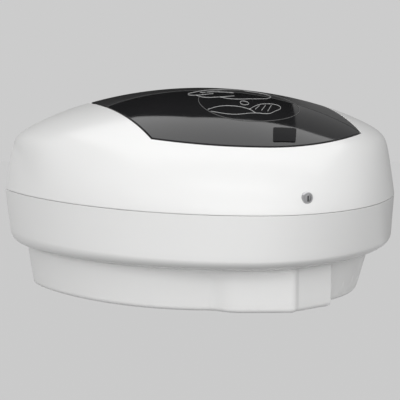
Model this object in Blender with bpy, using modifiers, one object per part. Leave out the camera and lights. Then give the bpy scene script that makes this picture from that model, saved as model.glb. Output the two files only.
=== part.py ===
# Automatic soap dispenser: a wall-mounted, landscape housing in two shells on a smaller base pod.
# Metres, +Z up, +X to the right of someone facing it. The wall is at +Y and the front at -Y.
# Depths count forwards from the wall plane.

from collections import namedtuple
from math import acos, asin, cos, pi, sin

import bmesh
import bpy
from mathutils import Matrix, Vector

# Overall sizes
WIDTH = 0.274
DEPTH = 0.130
SHELL_BOTTOM = 0.0308
SEAM_HEIGHT = 0.0688
CREST_HEIGHT = 0.1406

# Fits
GAP = 0.0003
SEAM_GAP = 0.0005
OVERRUN = 0.004
BITE = 0.0006
WELD = 0.00001

# Walls
WALL = 0.0030
WINDOW_THICKNESS = 0.0022
LEDGE_THICKNESS = 0.0018
LEDGE_WIDTH = 0.0040
LID_REAR_CLEARANCE = 0.0035

# Smoothness
CROWN_STEPS = 15
LEFT_STEPS = 15
RIGHT_STEPS = 11
ROUND_SEGMENTS = 16
FINE_SEGMENTS = 10

# A plan is blunt on the right and drawn out on the left, with a straight wall side.
Plan = namedtuple("Plan", "peak left right depth left_power right_power rear")
SEAM_PEAK = 0.038
BOTTOM_PEAK = 0.025
BOTTOM_LEFT = 0.158
BOTTOM_RIGHT = 0.105
BOTTOM_DEPTH = 0.108
LEFT_POWER_share = 0.83
RIGHT_POWER_share = 0.53
BOTTOM_LEFT_POWER_share = 0.73
BOTTOM_RIGHT_POWER_share = 0.69
CROWN_POWER_share = 0.6
CROWN_SPREAD_share = 1.17
SIDE_LEAN_share = 0.078
CORNER_SHARPNESS_share = 30.0
SEAM_PLAN = Plan(
    SEAM_PEAK, WIDTH / 2 + SEAM_PEAK, WIDTH / 2 - SEAM_PEAK, DEPTH, LEFT_POWER_share, RIGHT_POWER_share, 0.0
)
BOTTOM_PLAN = Plan(
    BOTTOM_PEAK, BOTTOM_LEFT, BOTTOM_RIGHT, BOTTOM_DEPTH, BOTTOM_LEFT_POWER_share, BOTTOM_RIGHT_POWER_share, 0.0
)

# Lower shell's sides, which roll under at the bottom
SKIRT_ROUND = 0.0065
SKIRT_POWER_share = 2.2
SKIRT_shares = (0.0, 0.2, 0.4, 0.6, 0.8)
SKIRT_ROUND_shares = (0.0, 0.33, 0.66, 1.0)

# Base pod
POD_PEAK = 0.008
POD_LEFT = 0.126
POD_RIGHT = 0.1045
POD_DEPTH = 0.086
POD_FLARE_LEFT = 0.004
POD_FLARE_RIGHT = 0.008
POD_FLARE_DEPTH = 0.003
POD_WALL = 0.0022
POD_FLOOR = 0.0028
POD_ROUND = 0.0035
POD_LEFT_POWER_share = 0.82
POD_RIGHT_POWER_share = 0.47

# Bulge of the pod, in two blocks with a groove between them
BULGE_LEFT = 0.016
BULGE_GROOVE = 0.0630
BULGE_RIGHT = 0.0870
BULGE_FRONT_LEFT = 0.0935
BULGE_FRONT_RIGHT = 0.0905
BULGE_FACET_LEFT = 0.0865
BULGE_FACET_RIGHT = 0.0700
BULGE_BACK = 0.055
BULGE_CORNER = 0.0035

# Housing inside
LIP_HEIGHT = 0.0022
LIP_THICKNESS = 0.0014
LIP_ROOT = 0.008
SHELF_THICKNESS = 0.0020
PANEL_SHOULDER_DROP = 0.040
PANEL_TOP_DROP = 0.022
PANEL_DEPTH = 0.0055
PANEL_THICKNESS = 0.0025
PANEL_TOP_LOW = CREST_HEIGHT - PANEL_SHOULDER_DROP
PANEL_TOP_HIGH = CREST_HEIGHT - PANEL_TOP_DROP
PANEL_HALF_LOW = 0.110
PANEL_HALF_HIGH = 0.074
TOWER_HALF = 0.026
FLOOR_THICKNESS = 0.0024
WELL_LEFT = 0.012
WELL_RIGHT = 0.066
WELL_REAR = 0.016
WELL_FRONT = 0.078

# Lid hinge
HINGE_DEPTH = 0.0082
HINGE_DROP = 0.0064
HINGE_HALF = 0.022
KNUCKLE_RADIUS = 0.0028
PIN_RADIUS = 0.0012
KNUCKLE_shares = (-1.0, -0.61, -0.2, 0.2, 0.61, 1.0)
HINGE_BAY_DEPTH = 0.0145
WEB_THICKNESS = 0.0032

# Window
LEAF_LEFT = 0.147
LEAF_RIGHT = 0.082
LEAF_DEPTH = 0.1035
LEAF_CORNER_X = -0.030
LEAF_TIP_X = 0.108
LEAF_REAR_LEFT = 0.079
LEAF_REAR_RIGHT = 0.089
TRIM_START_share = 0.33
TRIM_SAG_DEPTH = 0.004
TRIM_STEPS = 10
LEAF_STEPS = 12

# Indicator in the window
INDICATOR_X = 0.0550
INDICATOR_DEPTH = 0.0905
INDICATOR_WIDTH = 0.0115
INDICATOR_LENGTH = 0.0125

# Lock
LOCK_X = 0.066
LOCK_RISE = 0.0100
LOCK_HEIGHT = SEAM_HEIGHT + LOCK_RISE
LOCK_RADIUS = 0.0037
LOCK_LENGTH = 0.0080
LOCK_HEAD = 0.0012
CAM_LENGTH = 0.0105
CAM_WIDTH = 0.0044
CAM_THICKNESS = 0.0014
CAM_PIN_RADIUS = 0.0014
KEEPER_WIDTH = 0.0060
KEEPER_THICKNESS = 0.0016
KEEPER_FOOT = 0.0030

# Wall bracket
BRACKET_HALF = 0.092
BRACKET_BOTTOM = 0.038
BRACKET_TOP = 0.097
BRACKET_THICKNESS = 0.0025
HOOK_X = 0.062
HOOK_WIDTH = 0.012
HOOK_HEIGHT = 0.086
HOOK_LIP = 0.004
SLOT_X = 0.078
SLOT_WIDTH = 0.0046
SLOT_LENGTH = 0.0100

# Reservoir
TANK_REAR = 0.0110
TANK_LEFT = 0.146
TANK_RIGHT = 0.069
TANK_DEPTH = 0.091
TANK_RISE = 0.0045
TANK_DROP = 0.0330
TANK_BOTTOM = SEAM_HEIGHT + TANK_RISE
TANK_TOP = CREST_HEIGHT - TANK_DROP
TANK_WALL = 0.0020
TANK_ROUND = 0.0070
SUMP_PEAK = -0.010
SUMP_LEFT = 0.090
SUMP_RIGHT = 0.012
SUMP_DEPTH = 0.075
SUMP_LEFT_POWER_share = 0.95
SUMP_RIGHT_POWER_share = 0.08
NECK_X = 0.0335
NECK_DEPTH = 0.0465
NECK_RADIUS = 0.0250
NECK_HEIGHT = 0.0070
CAP_RADIUS = 0.0300
CAP_HEIGHT = 0.0100
CAP_WALL = 0.0020
SEAL_THICKNESS = 0.0016

# Pump
PUMP_X = 0.038
PUMP_HEIGHT = 0.046
PUMP_DEPTH = 0.066
TUBE_RADIUS = 0.0030
TUBE_BEND = 0.0150
TUBE_TURN = 0.0080
TUBE_START = 0.0068
TRACK_WALL = 0.0025
ROTOR_LENGTH = 0.0110
ROTOR_DISC = 0.0018
ROTOR_HUB = 0.0032
ROLLER_RADIUS = 0.0034
ROLLER_PIN_RADIUS = 0.0011
ROLLER_CLEARANCE = 0.0003
SHAFT_RADIUS = 0.0020
PLATE_THICKNESS = 0.0020
COVER_THICKNESS = 0.0020
PUMP_BOTTOM = 0.0300
GEARBOX_RADIUS = 0.0132
GEARBOX_LENGTH = 0.0100
MOTOR_RADIUS = 0.0122
MOTOR_LENGTH = 0.0280
MOTOR_BOSS = 0.0045
FOOT_HALF = 0.0140
FOOT_DEPTH = 0.0110
FOOT_THICKNESS = 0.0022
FOOT_WEB = 0.0100
FOOT_SCREW = 0.0105
NOZZLE_RADIUS = 0.0042
NOZZLE_FLANGE = 0.0065
NOZZLE_TOP = 0.0135
NOZZLE_TIP = 0.0006

# Sensor
SENSOR_X = 0.0720
SENSOR_DEPTH = 0.0620
SENSOR_WIDTH = 0.0120
SENSOR_LENGTH = 0.0080
SENSOR_BOARD_HEIGHT = 0.0120
SENSOR_BOARD_WIDTH = 0.0210
BOARD_THICKNESS = 0.0016
SENSOR_POST = 0.0085
POST_RADIUS = 0.0020
LED_RADIUS = 0.0016
LED_SPREAD = 0.0028
LED_LENGTH = 0.0055

# Control board
BOARD_LEFT = 0.070
BOARD_RIGHT = 0.114
BOARD_BOTTOM = 0.036
BOARD_TOP = 0.062
BOARD_DEPTH = 0.0140
CHIP_shares = ((0.15, 0.45, 0.24, 0.30), (0.52, 0.20, 0.16, 0.22), (0.62, 0.58, 0.28, 0.24))

# Batteries
CELL_RADIUS = 0.0072
CELL_LENGTH = 0.0490
CELL_NUB = 0.0012
CELL_NUB_RADIUS = 0.0026
BOX_LEFT = -0.0760
BOX_RIGHT = 0.0340
BOX_REAR = 0.0090
BOX_WALL = 0.0015
BOX_CELL_HEIGHT = 0.0120
CONTACT_THICKNESS = 0.0008
CONTACT_CONE = 0.0030
DOOR_THICKNESS = 0.0016
DOOR_LIFT = 0.0006
DOOR_PIN_RADIUS = 0.0008
DOOR_PIN_LENGTH = 0.0018
DOOR_SWING = 0.0019
DOOR_EDGE = 0.0012

# Power switch
SWITCH_X = 0.0900
SWITCH_DEPTH = 0.0220
SWITCH_TRAVEL = 0.0035
SWITCH_KNOB = 0.0035
SWITCH_KNOB_WIDTH = 0.0022
SWITCH_FLANGE = 0.0042
SWITCH_FLANGE_WIDTH = 0.0038
SWITCH_BODY_LENGTH = 0.0130
SWITCH_BODY_WIDTH = 0.0085
SWITCH_BODY_HEIGHT = 0.0065

# Screws
SCREW_RADIUS = 0.0012
SCREW_HEAD_RADIUS = 0.0024
SCREW_HEAD = 0.0014
POD_BOSS_RADIUS = 0.0032
POD_BOSS_DROP = 0.0120
POD_SCREW_PLACES_shares = ((-0.78, 0.14), (-0.146, 0.905), (0.62, 0.60), (0.78, 0.14))

REAR = DEPTH / 2
HINGE_HEIGHT = CREST_HEIGHT - HINGE_DROP
SPAN = max(WIDTH, DEPTH)


def spot(x, depth, z):
    """A point, from its distance forwards of the wall plane."""
    return Vector((x, REAR - depth, z))


# Scene
for old in list(bpy.data.objects):
    bpy.data.objects.remove(old, do_unlink=True)
PARTS = bpy.data.collections.new("automatic_soap_dispenser")
CUTTERS = bpy.data.collections.new("cutters")
bpy.context.scene.collection.children.link(PARTS)
bpy.context.scene.collection.children.link(CUTTERS)
CUTTERS.hide_render = True


def material(name, colour, roughness, metallic=0.0, alpha=1.0):
    made = bpy.data.materials.new(name)
    made.use_nodes = True
    shader = made.node_tree.nodes["Principled BSDF"]
    shader.inputs["Base Color"].default_value = (*colour, 1.0)
    shader.inputs["Roughness"].default_value = roughness
    shader.inputs["Metallic"].default_value = metallic
    shader.inputs["Alpha"].default_value = alpha
    return made


WHITE = material("white_gloss_plastic", (0.84, 0.84, 0.83), 0.16)
SMOKE = material("smoked_plastic", (0.03, 0.03, 0.032), 0.06, 0.0, 0.85)
BLACK = material("black_plastic", (0.02, 0.02, 0.02), 0.3)
GREY = material("grey_plastic", (0.35, 0.35, 0.36), 0.4)
TANK = material("translucent_plastic", (0.80, 0.82, 0.80), 0.35, 0.0, 0.6)
RUBBER = material("silicone_rubber", (0.75, 0.74, 0.70), 0.5)
STEEL = material("steel", (0.55, 0.55, 0.56), 0.3, 1.0)
BOARD = material("circuit_board_green", (0.03, 0.20, 0.08), 0.4)
CELL = material("battery_wrap", (0.10, 0.10, 0.12), 0.3)


def hold(name, mesh, finish=None):
    """Puts a mesh in the scene, as a part or, with no finish, as a cutter."""
    made = bpy.data.objects.new(name, mesh)
    if finish is None:
        CUTTERS.objects.link(made)
        made.hide_render = True
        made.display_type = "WIRE"
    else:
        PARTS.objects.link(made)
        made.data.materials.append(finish)
    return made


def from_bmesh(name, shape, finish=None):
    bmesh.ops.recalc_face_normals(shape, faces=shape.faces)
    mesh = bpy.data.meshes.new(name)
    shape.to_mesh(mesh)
    shape.free()
    return hold(name, mesh, finish)


def box(name, low, high, finish=None):
    """A block from its left, wall-side, lower corner to its right, front, upper corner."""
    shape = bmesh.new()
    bmesh.ops.create_cube(shape, size=1.0)
    size = Vector(high) - Vector(low)
    middle = (Vector(high) + Vector(low)) / 2
    bmesh.ops.scale(shape, vec=size, verts=shape.verts)
    bmesh.ops.translate(shape, vec=spot(*middle), verts=shape.verts)
    return from_bmesh(name, shape, finish)


def rod(name, radius, start, end, finish=None, segments=ROUND_SEGMENTS, end_radius=None):
    """A round bar between two points given as x, depth and height."""
    shape = bmesh.new()
    first = spot(*start)
    run = spot(*end) - first
    turn = Vector((0, 0, 1)).rotation_difference(run).to_matrix().to_4x4()
    bmesh.ops.create_cone(
        shape,
        cap_ends=True,
        segments=segments,
        radius1=radius,
        radius2=radius if end_radius is None else end_radius,
        depth=run.length,
        matrix=Matrix.Translation(first + run / 2) @ turn,
    )
    return from_bmesh(name, shape, finish)


def turned(name, profile, place, finish=None, segments=ROUND_SEGMENTS):
    """A turned shape: a closed profile of radius and height, run down its outer side, about a vertical axis."""
    mesh = bpy.data.meshes.new(name)
    closed = profile[0] == profile[-1]
    points = [(radius, 0.0, height) for radius, height in (profile[1:] if closed else profile)]
    edges = [(i, i + 1) for i in range(len(points) - 1)] + ([(len(points) - 1, 0)] if closed else [])
    mesh.from_pydata(points, edges, [])
    made = hold(name, mesh, finish)
    screw = made.modifiers.new("turn", "SCREW")
    screw.steps = segments
    screw.render_steps = segments
    screw.use_merge_vertices = True
    screw.merge_threshold = WELD
    made.location = spot(*place)
    return made


def slab(name, outline, low, high, finish=None):
    """A flat plan outline of x and depth, raised between two heights."""
    curve = bpy.data.curves.new(name, "CURVE")
    curve.dimensions = "2D"
    curve.fill_mode = "BOTH"
    curve.extrude = (high - low) / 2
    line = curve.splines.new("POLY")
    line.points.add(len(outline) - 1)
    for point, (x, depth) in zip(line.points, outline):
        point.co = (x, REAR - depth, 0.0, 1.0)
    line.use_cyclic_u = True
    return solid_of_curve(name, curve, Matrix.Translation((0, 0, (low + high) / 2)), finish)


def upright(name, outline, near, far, finish=None):
    """A flat outline of x and height, standing between two depths."""
    curve = bpy.data.curves.new(name, "CURVE")
    curve.dimensions = "2D"
    curve.fill_mode = "BOTH"
    curve.extrude = (far - near) / 2
    line = curve.splines.new("POLY")
    line.points.add(len(outline) - 1)
    for point, (x, height) in zip(line.points, outline):
        point.co = (x, height, 0.0, 1.0)
    line.use_cyclic_u = True
    stand = Matrix.Translation((0, REAR - (near + far) / 2, 0)) @ Matrix.Rotation(pi / 2, 4, "X")
    return solid_of_curve(name, curve, stand, finish)


def solid_of_curve(name, curve, matrix, finish):
    """The mesh of a filled curve, with its loose caps welded to its sides."""
    guide = bpy.data.objects.new(name + "_curve", curve)
    CUTTERS.objects.link(guide)
    bpy.context.view_layer.update()
    graph = bpy.context.evaluated_depsgraph_get()
    mesh = bpy.data.meshes.new_from_object(guide.evaluated_get(graph))
    bpy.data.objects.remove(guide, do_unlink=True)
    shape = bmesh.new()
    shape.from_mesh(mesh)
    bpy.data.meshes.remove(mesh)
    bmesh.ops.remove_doubles(shape, verts=shape.verts, dist=WELD)
    bmesh.ops.transform(shape, matrix=matrix, verts=shape.verts)
    return from_bmesh(name, shape, finish)


def pivot(made, place):
    """Puts a piece's origin on its joint's axis, and leaves its shape where it is."""
    point = spot(*place)
    made.data.transform(Matrix.Translation(-point))
    made.location = point
    return made


def boolean(target, other, operation):
    step = target.modifiers.new(operation.lower(), "BOOLEAN")
    step.operation = operation
    step.solver = "EXACT"
    step.object = other


def cut(target, *others):
    for other in others:
        boolean(target, other, "DIFFERENCE")


def join(target, *others):
    for other in others:
        boolean(target, other, "UNION")


def keep(target, *others):
    for other in others:
        boolean(target, other, "INTERSECT")


def bevel_uprights(made, width, segments=3):
    """Rounds the vertical edges of a block."""
    shape = bmesh.new()
    shape.from_mesh(made.data)
    edges = [
        edge for edge in shape.edges
        if abs((edge.verts[0].co - edge.verts[1].co).normalized().z) > 1 - BITE
        and len(edge.link_faces) == 2 and edge.calc_face_angle(0.0) > pi / 9
    ]
    bmesh.ops.bevel(shape, geom=edges, offset=width, segments=segments, profile=0.5, affect="EDGES")
    shape.to_mesh(made.data)
    shape.free()
    return made


def loft(name, rings, finish=None, capped=True):
    """Skins closed rings of points, and caps the first and the last."""
    shape = bmesh.new()
    rows = [[shape.verts.new(point) for point in ring] for ring in rings]
    count = len(rows[0])
    for lower, upper in zip(rows, rows[1:]):
        for i in range(count):
            j = (i + 1) % count
            shape.faces.new((lower[i], lower[j], upper[j], upper[i]))
    if capped:
        shape.faces.new(rows[0])
        shape.faces.new(rows[-1])
    return from_bmesh(name, shape, finish)


def plan_points(plan, inset=0.0):
    """The front line of a plan, as x and depth, from its rear left corner to its rear right corner."""
    points = []
    reach = plan.depth - plan.rear - inset
    for i in range(LEFT_STEPS + 1):
        turn = pi / 2 * i / LEFT_STEPS
        x = plan.peak - (plan.left - inset) * cos(turn)
        points.append((x, plan.rear + reach * sin(turn) ** (2 * plan.left_power)))
    for i in range(1, RIGHT_STEPS + 1):
        turn = pi / 2 * (1 - i / RIGHT_STEPS)
        x = plan.peak + (plan.right - inset) * cos(turn)
        points.append((x, plan.rear + reach * sin(turn) ** (2 * plan.right_power)))
    return points


def plan_sides(plan, depth, inset):
    """Where a plan's outline crosses a depth on the left and on the right, drawn in by an inset."""
    reach = depth / plan.depth
    left_turn = asin(reach ** (1 / (2 * plan.left_power)))
    right_turn = asin(reach ** (1 / (2 * plan.right_power)))
    return plan.peak - plan.left * cos(left_turn) + inset, plan.peak + plan.right * cos(right_turn) - inset


def between(first, second, share):
    """A plan part of the way from one plan to another."""
    return Plan(*(a + (b - a) * share for a, b in zip(first, second)))


def offset_outline(points, distance):
    """A closed outline grown by a distance, or shrunk by a negative one."""
    count = len(points)
    area = sum(points[i][0] * points[(i + 1) % count][1] - points[(i + 1) % count][0] * points[i][1]
               for i in range(count))
    side = 1.0 if area > 0 else -1.0
    grown = []
    for i in range(count):
        before = Vector(points[i]) - Vector(points[i - 1])
        after = Vector(points[(i + 1) % count]) - Vector(points[i])
        first = Vector((before.y, -before.x)).normalized() * side
        second = Vector((after.y, -after.x)).normalized() * side
        middle = (first + second).normalized()
        reach = distance / max(middle.dot(first), 0.5)
        grown.append((points[i][0] + middle.x * reach, points[i][1] + middle.y * reach))
    return grown


# Shell surfaces


def open_rings(levels):
    """A shell's rings of points, each run on behind the wall side so that a trim leaves a flat edge."""
    rings = []
    for points, height in levels:
        first = points[0]
        last = points[-1]
        row = [(first[0], first[1] - OVERRUN), *points, (last[0], last[1] - OVERRUN)]
        rings.append([spot(x, depth, height) for x, depth in row])
    return rings


def shell_layer(name, rings, inner, outer, finish=None):
    """An open skin through the rings, given the thickness between two depths under its outer face."""
    shape = bmesh.new()
    rows = [[shape.verts.new(point) for point in ring] for ring in rings]
    for lower, upper in zip(rows, rows[1:]):
        for i in range(len(lower) - 1):
            shape.faces.new((lower[i], lower[i + 1], upper[i + 1], upper[i]))
    bmesh.ops.remove_doubles(shape, verts=shape.verts, dist=WELD)
    mesh = bpy.data.meshes.new(name)
    shape.to_mesh(mesh)
    shape.free()
    made = hold(name, mesh, finish)
    solid = made.modifiers.new("wall", "SOLIDIFY")
    solid.thickness = outer - inner
    solid.offset = -1 - 2 * inner / (outer - inner)
    solid.use_even_offset = True
    return made


def crown_height(reach):
    """How high the crown stands where its plan has shrunk to this share of its depth."""
    return (CREST_HEIGHT - SEAM_HEIGHT) * (1 - reach ** 2) ** CROWN_POWER_share


def crown_levels():
    """The lid's plans from just under the seam up to the crest, which is a point at the wall side."""
    levels = [(plan_points(SEAM_PLAN), SEAM_HEIGHT - OVERRUN)]
    for i in range(CROWN_STEPS + 1):
        reach = cos(pi / 2 * i / CROWN_STEPS) if i < CROWN_STEPS else 0.0
        rise = crown_height(reach)
        lean = 1 - SIDE_LEAN_share * rise / (CREST_HEIGHT - SEAM_HEIGHT)
        spread = CROWN_SPREAD_share * reach
        power = CORNER_SHARPNESS_share
        wide = (lean ** -power + spread ** -power) ** (-1 / power) if spread > 0 else 0.0
        points = [(x * wide, depth * reach) for x, depth in plan_points(SEAM_PLAN)]
        levels.append((points, SEAM_HEIGHT + rise))
    return levels


CROWN = open_rings(crown_levels())


def skirt_levels():
    """The lower housing's plans from above the seam down to its rounded lower edge."""
    drop = SEAM_HEIGHT - SHELL_BOTTOM - SKIRT_ROUND
    levels = [(plan_points(SEAM_PLAN), SEAM_HEIGHT + OVERRUN)]
    for share in SKIRT_shares:
        plan = between(SEAM_PLAN, BOTTOM_PLAN, share ** SKIRT_POWER_share)
        levels.append((plan_points(plan), SEAM_HEIGHT - drop * share))
    for turn_share in SKIRT_ROUND_shares:
        turn = pi / 2 * turn_share
        inset = SKIRT_ROUND * (1 - cos(turn))
        height = SHELL_BOTTOM + SKIRT_ROUND * (1 - sin(turn))
        levels.append((plan_points(BOTTOM_PLAN, inset), height))
    return levels


SKIRT = open_rings(reversed(skirt_levels()))


# Window outlines


def leaf_front():
    """The window's near edge, from its left corner to its right tip."""
    left_turn = acos((SEAM_PEAK - LEAF_CORNER_X) / LEAF_LEFT)
    right_turn = acos((LEAF_TIP_X - SEAM_PEAK) / LEAF_RIGHT)
    points = []
    for i in range(LEAF_STEPS + 1):
        turn = left_turn + (pi / 2 - left_turn) * i / LEAF_STEPS
        points.append((SEAM_PEAK - LEAF_LEFT * cos(turn), LEAF_DEPTH * sin(turn) ** (2 * LEFT_POWER_share)))
    for i in range(1, LEAF_STEPS + 1):
        turn = pi / 2 + (right_turn - pi / 2) * i / LEAF_STEPS
        points.append((SEAM_PEAK + LEAF_RIGHT * cos(turn), LEAF_DEPTH * sin(turn) ** (2 * RIGHT_POWER_share)))
    return points


def trim_line():
    """The line between the window and the rear trim, from the right tip to the left edge."""
    front = leaf_front()
    left_front = Vector(front[0])
    left_rear = Vector((-LEAF_REAR_LEFT, 0.0))
    start = left_rear.lerp(left_front, TRIM_START_share)
    end = Vector(front[-1])
    sag = Vector((0.0, TRIM_SAG_DEPTH))
    points = []
    for i in range(TRIM_STEPS + 1):
        t = 1 - i / TRIM_STEPS
        point = start * (1 - t) ** 2 + sag * 2 * t * (1 - t) + end * t ** 2
        points.append((point.x, point.y))
    return points


def window_outline():
    """The whole dark area: the window with the rear trim."""
    rear = [(LEAF_REAR_RIGHT, 0.0), (LEAF_REAR_RIGHT, -OVERRUN), (-LEAF_REAR_LEFT, -OVERRUN), (-LEAF_REAR_LEFT, 0.0)]
    return [*leaf_front(), *rear]


def leaf_outline():
    return [*leaf_front(), *trim_line()[1:]]


def trim_outline():
    rear = [(LEAF_REAR_RIGHT, 0.0), (LEAF_REAR_RIGHT, -OVERRUN), (-LEAF_REAR_LEFT, -OVERRUN), (-LEAF_REAR_LEFT, 0.0)]
    return [*reversed(trim_line()), *rear]


def tower_slab(name, outline, distance, finish=None):
    """An outline grown by a distance, raised through the whole crown."""
    return slab(name, offset_outline(outline, distance), SEAM_HEIGHT, CREST_HEIGHT + OVERRUN, finish)


def indicator_outline(grow):
    half = INDICATOR_WIDTH / 2 + grow
    along = INDICATOR_LENGTH / 2 + grow
    return [
        (INDICATOR_X - half, INDICATOR_DEPTH - along),
        (INDICATOR_X + half, INDICATOR_DEPTH - along),
        (INDICATOR_X + half, INDICATOR_DEPTH + along),
        (INDICATOR_X - half, INDICATOR_DEPTH + along),
    ]


def lid_space():
    """The space over the seam and in front of the wall gap, which the lid's pieces are trimmed to."""
    return box(
        "lid_space", (-SPAN, LID_REAR_CLEARANCE, SEAM_HEIGHT + SEAM_GAP), (SPAN, DEPTH + OVERRUN, CREST_HEIGHT + OVERRUN)
    )


def knuckles(first):
    """Hinge barrels over every other length of the hinge, each with its pin hole."""
    made = []
    for i in range(first, len(KNUCKLE_shares) - 1, 2):
        left = KNUCKLE_shares[i] * HINGE_HALF + GAP
        right = KNUCKLE_shares[i + 1] * HINGE_HALF - GAP
        made.append((left, right))
    return made


def lock_frame():
    """The lock's outward direction in the plan, and the point where its axis leaves the lid."""
    level = [
        (spot_.x, REAR - spot_.y)
        for spot_ in lid_ring(LOCK_HEIGHT)
    ]
    for first, second in zip(level, level[1:]):
        if first[0] <= LOCK_X <= second[0] and first[1] > 0:
            share = (LOCK_X - first[0]) / (second[0] - first[0])
            depth = first[1] + (second[1] - first[1]) * share
            along = Vector((second[0] - first[0], second[1] - first[1])).normalized()
            return Vector((LOCK_X, depth)), Vector((-along.y, along.x)), along
    raise ValueError("the lock lies outside the lid")


def lid_ring(height):
    """The lid's ring at a height, read between the two nearest rings."""
    for lower, upper in zip(CROWN, CROWN[1:]):
        if lower[0].z <= height <= upper[0].z:
            share = (height - lower[0].z) / (upper[0].z - lower[0].z)
            return [a.lerp(b, share) for a, b in zip(lower, upper)]
    raise ValueError("the height lies outside the lid")


def lock_point(inward, sideways, height):
    """A point near the lock: inwards along its axis, sideways along the wall, and a height."""
    origin, out, along = lock_frame()
    place = origin - out * inward + along * sideways
    return (place.x, place.y, height)


# Lid


def lid_shell():
    made = shell_layer("lid_shell", CROWN, 0.0, WALL, WHITE)
    space = lid_space()
    cut(made, tower_slab("window_hole", window_outline(), 0.0))
    seat = WINDOW_THICKNESS + GAP
    ledge = shell_layer("lid_ledge", CROWN, seat, seat + LEDGE_THICKNESS)
    keep(ledge, tower_slab("ledge_outside", window_outline(), LEDGE_WIDTH))
    cut(ledge, tower_slab("ledge_inside", leaf_outline(), -LEDGE_WIDTH))
    join(made, ledge)
    keep(made, space)
    bay = box(
        "hinge_bay",
        (-HINGE_HALF - BITE, -OVERRUN, HINGE_HEIGHT - HINGE_DROP),
        (HINGE_HALF + BITE, HINGE_BAY_DEPTH, CREST_HEIGHT + OVERRUN),
    )
    cut(made, bay)
    for number, (left, right) in enumerate(knuckles(1)):
        barrel = rod(f"lid_knuckle_{number}", KNUCKLE_RADIUS, (left, HINGE_DEPTH, HINGE_HEIGHT),
                     (right, HINGE_DEPTH, HINGE_HEIGHT))
        web = box(
            f"lid_web_{number}",
            (left, HINGE_DEPTH, HINGE_HEIGHT - KNUCKLE_RADIUS / 2),
            (right, HINGE_BAY_DEPTH + LEDGE_WIDTH, HINGE_HEIGHT - KNUCKLE_RADIUS / 2 + WEB_THICKNESS),
        )
        join(made, barrel, web)
    cut(made, rod("lid_pin_hole", PIN_RADIUS + GAP, (-SPAN, HINGE_DEPTH, HINGE_HEIGHT),
                  (SPAN, HINGE_DEPTH, HINGE_HEIGHT), segments=FINE_SEGMENTS))
    cut(made, rod("lock_hole", LOCK_RADIUS + GAP, lock_point(-OVERRUN, 0.0, LOCK_HEIGHT),
                  lock_point(LOCK_LENGTH, 0.0, LOCK_HEIGHT)))
    return made


def smoked_window():
    made = shell_layer("smoked_window", CROWN, 0.0, WINDOW_THICKNESS, SMOKE)
    keep(made, tower_slab("leaf_space", leaf_outline(), -GAP))
    cut(made, bevel_uprights(tower_slab("indicator_hole", indicator_outline(0.0), GAP), INDICATOR_WIDTH / 8))
    return made


def rear_trim():
    made = shell_layer("rear_trim", CROWN, 0.0, WINDOW_THICKNESS, BLACK)
    keep(made, tower_slab("trim_space", trim_outline(), -GAP), lid_space())
    return made


def indicator_window():
    made = shell_layer("indicator_window", CROWN, 0.0, WINDOW_THICKNESS, BLACK)
    keep(made, bevel_uprights(tower_slab("indicator_space", indicator_outline(0.0), 0.0), INDICATOR_WIDTH / 8))
    return made


def hinge_pin():
    return rod("hinge_pin", PIN_RADIUS, (-HINGE_HALF + GAP, HINGE_DEPTH, HINGE_HEIGHT),
               (HINGE_HALF - GAP, HINGE_DEPTH, HINGE_HEIGHT), STEEL, FINE_SEGMENTS)


# Lock


def lock_barrel():
    made = rod("lock_barrel", LOCK_RADIUS, lock_point(0.0, 0.0, LOCK_HEIGHT),
               lock_point(LOCK_LENGTH, 0.0, LOCK_HEIGHT), GREY)
    stem = rod("lock_stem", CAM_PIN_RADIUS, lock_point(LOCK_LENGTH - BITE, 0.0, LOCK_HEIGHT),
               lock_point(LOCK_LENGTH + CAM_THICKNESS + 2 * GAP, 0.0, LOCK_HEIGHT), segments=FINE_SEGMENTS)
    join(made, stem)
    for side in (-1, 1):
        key_hole = rod(
            f"key_hole_{side}", LOCK_RADIUS / 5,
            lock_point(-BITE, 0.0, LOCK_HEIGHT + side * LOCK_RADIUS / 3),
            lock_point(LOCK_HEAD, 0.0, LOCK_HEIGHT + side * LOCK_RADIUS / 3), segments=FINE_SEGMENTS,
        )
        cut(made, key_hole)
    return made


def lock_plate(name, sideways, heights, inwards, finish=None):
    """A block set square to the lock's axis, from ranges sideways, up and inwards."""
    shape = bmesh.new()
    bmesh.ops.create_cube(shape, size=1.0)
    for vert in shape.verts:
        side = sideways[vert.co.x > 0]
        height = heights[vert.co.z > 0]
        inward = inwards[vert.co.y > 0]
        vert.co = spot(*lock_point(inward, side, height))
    return from_bmesh(name, shape, finish)


def lock_cam():
    near = LOCK_LENGTH + GAP
    far = near + CAM_THICKNESS
    made = lock_plate(
        "lock_cam",
        (-CAM_WIDTH / 2, CAM_WIDTH / 2),
        (LOCK_HEIGHT - CAM_LENGTH, LOCK_HEIGHT + CAM_WIDTH / 2),
        (near, far),
        STEEL,
    )
    cut(made, rod("cam_hole", CAM_PIN_RADIUS + GAP, lock_point(near - OVERRUN, 0.0, LOCK_HEIGHT),
                  lock_point(far + OVERRUN, 0.0, LOCK_HEIGHT), segments=FINE_SEGMENTS))
    return made


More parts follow.
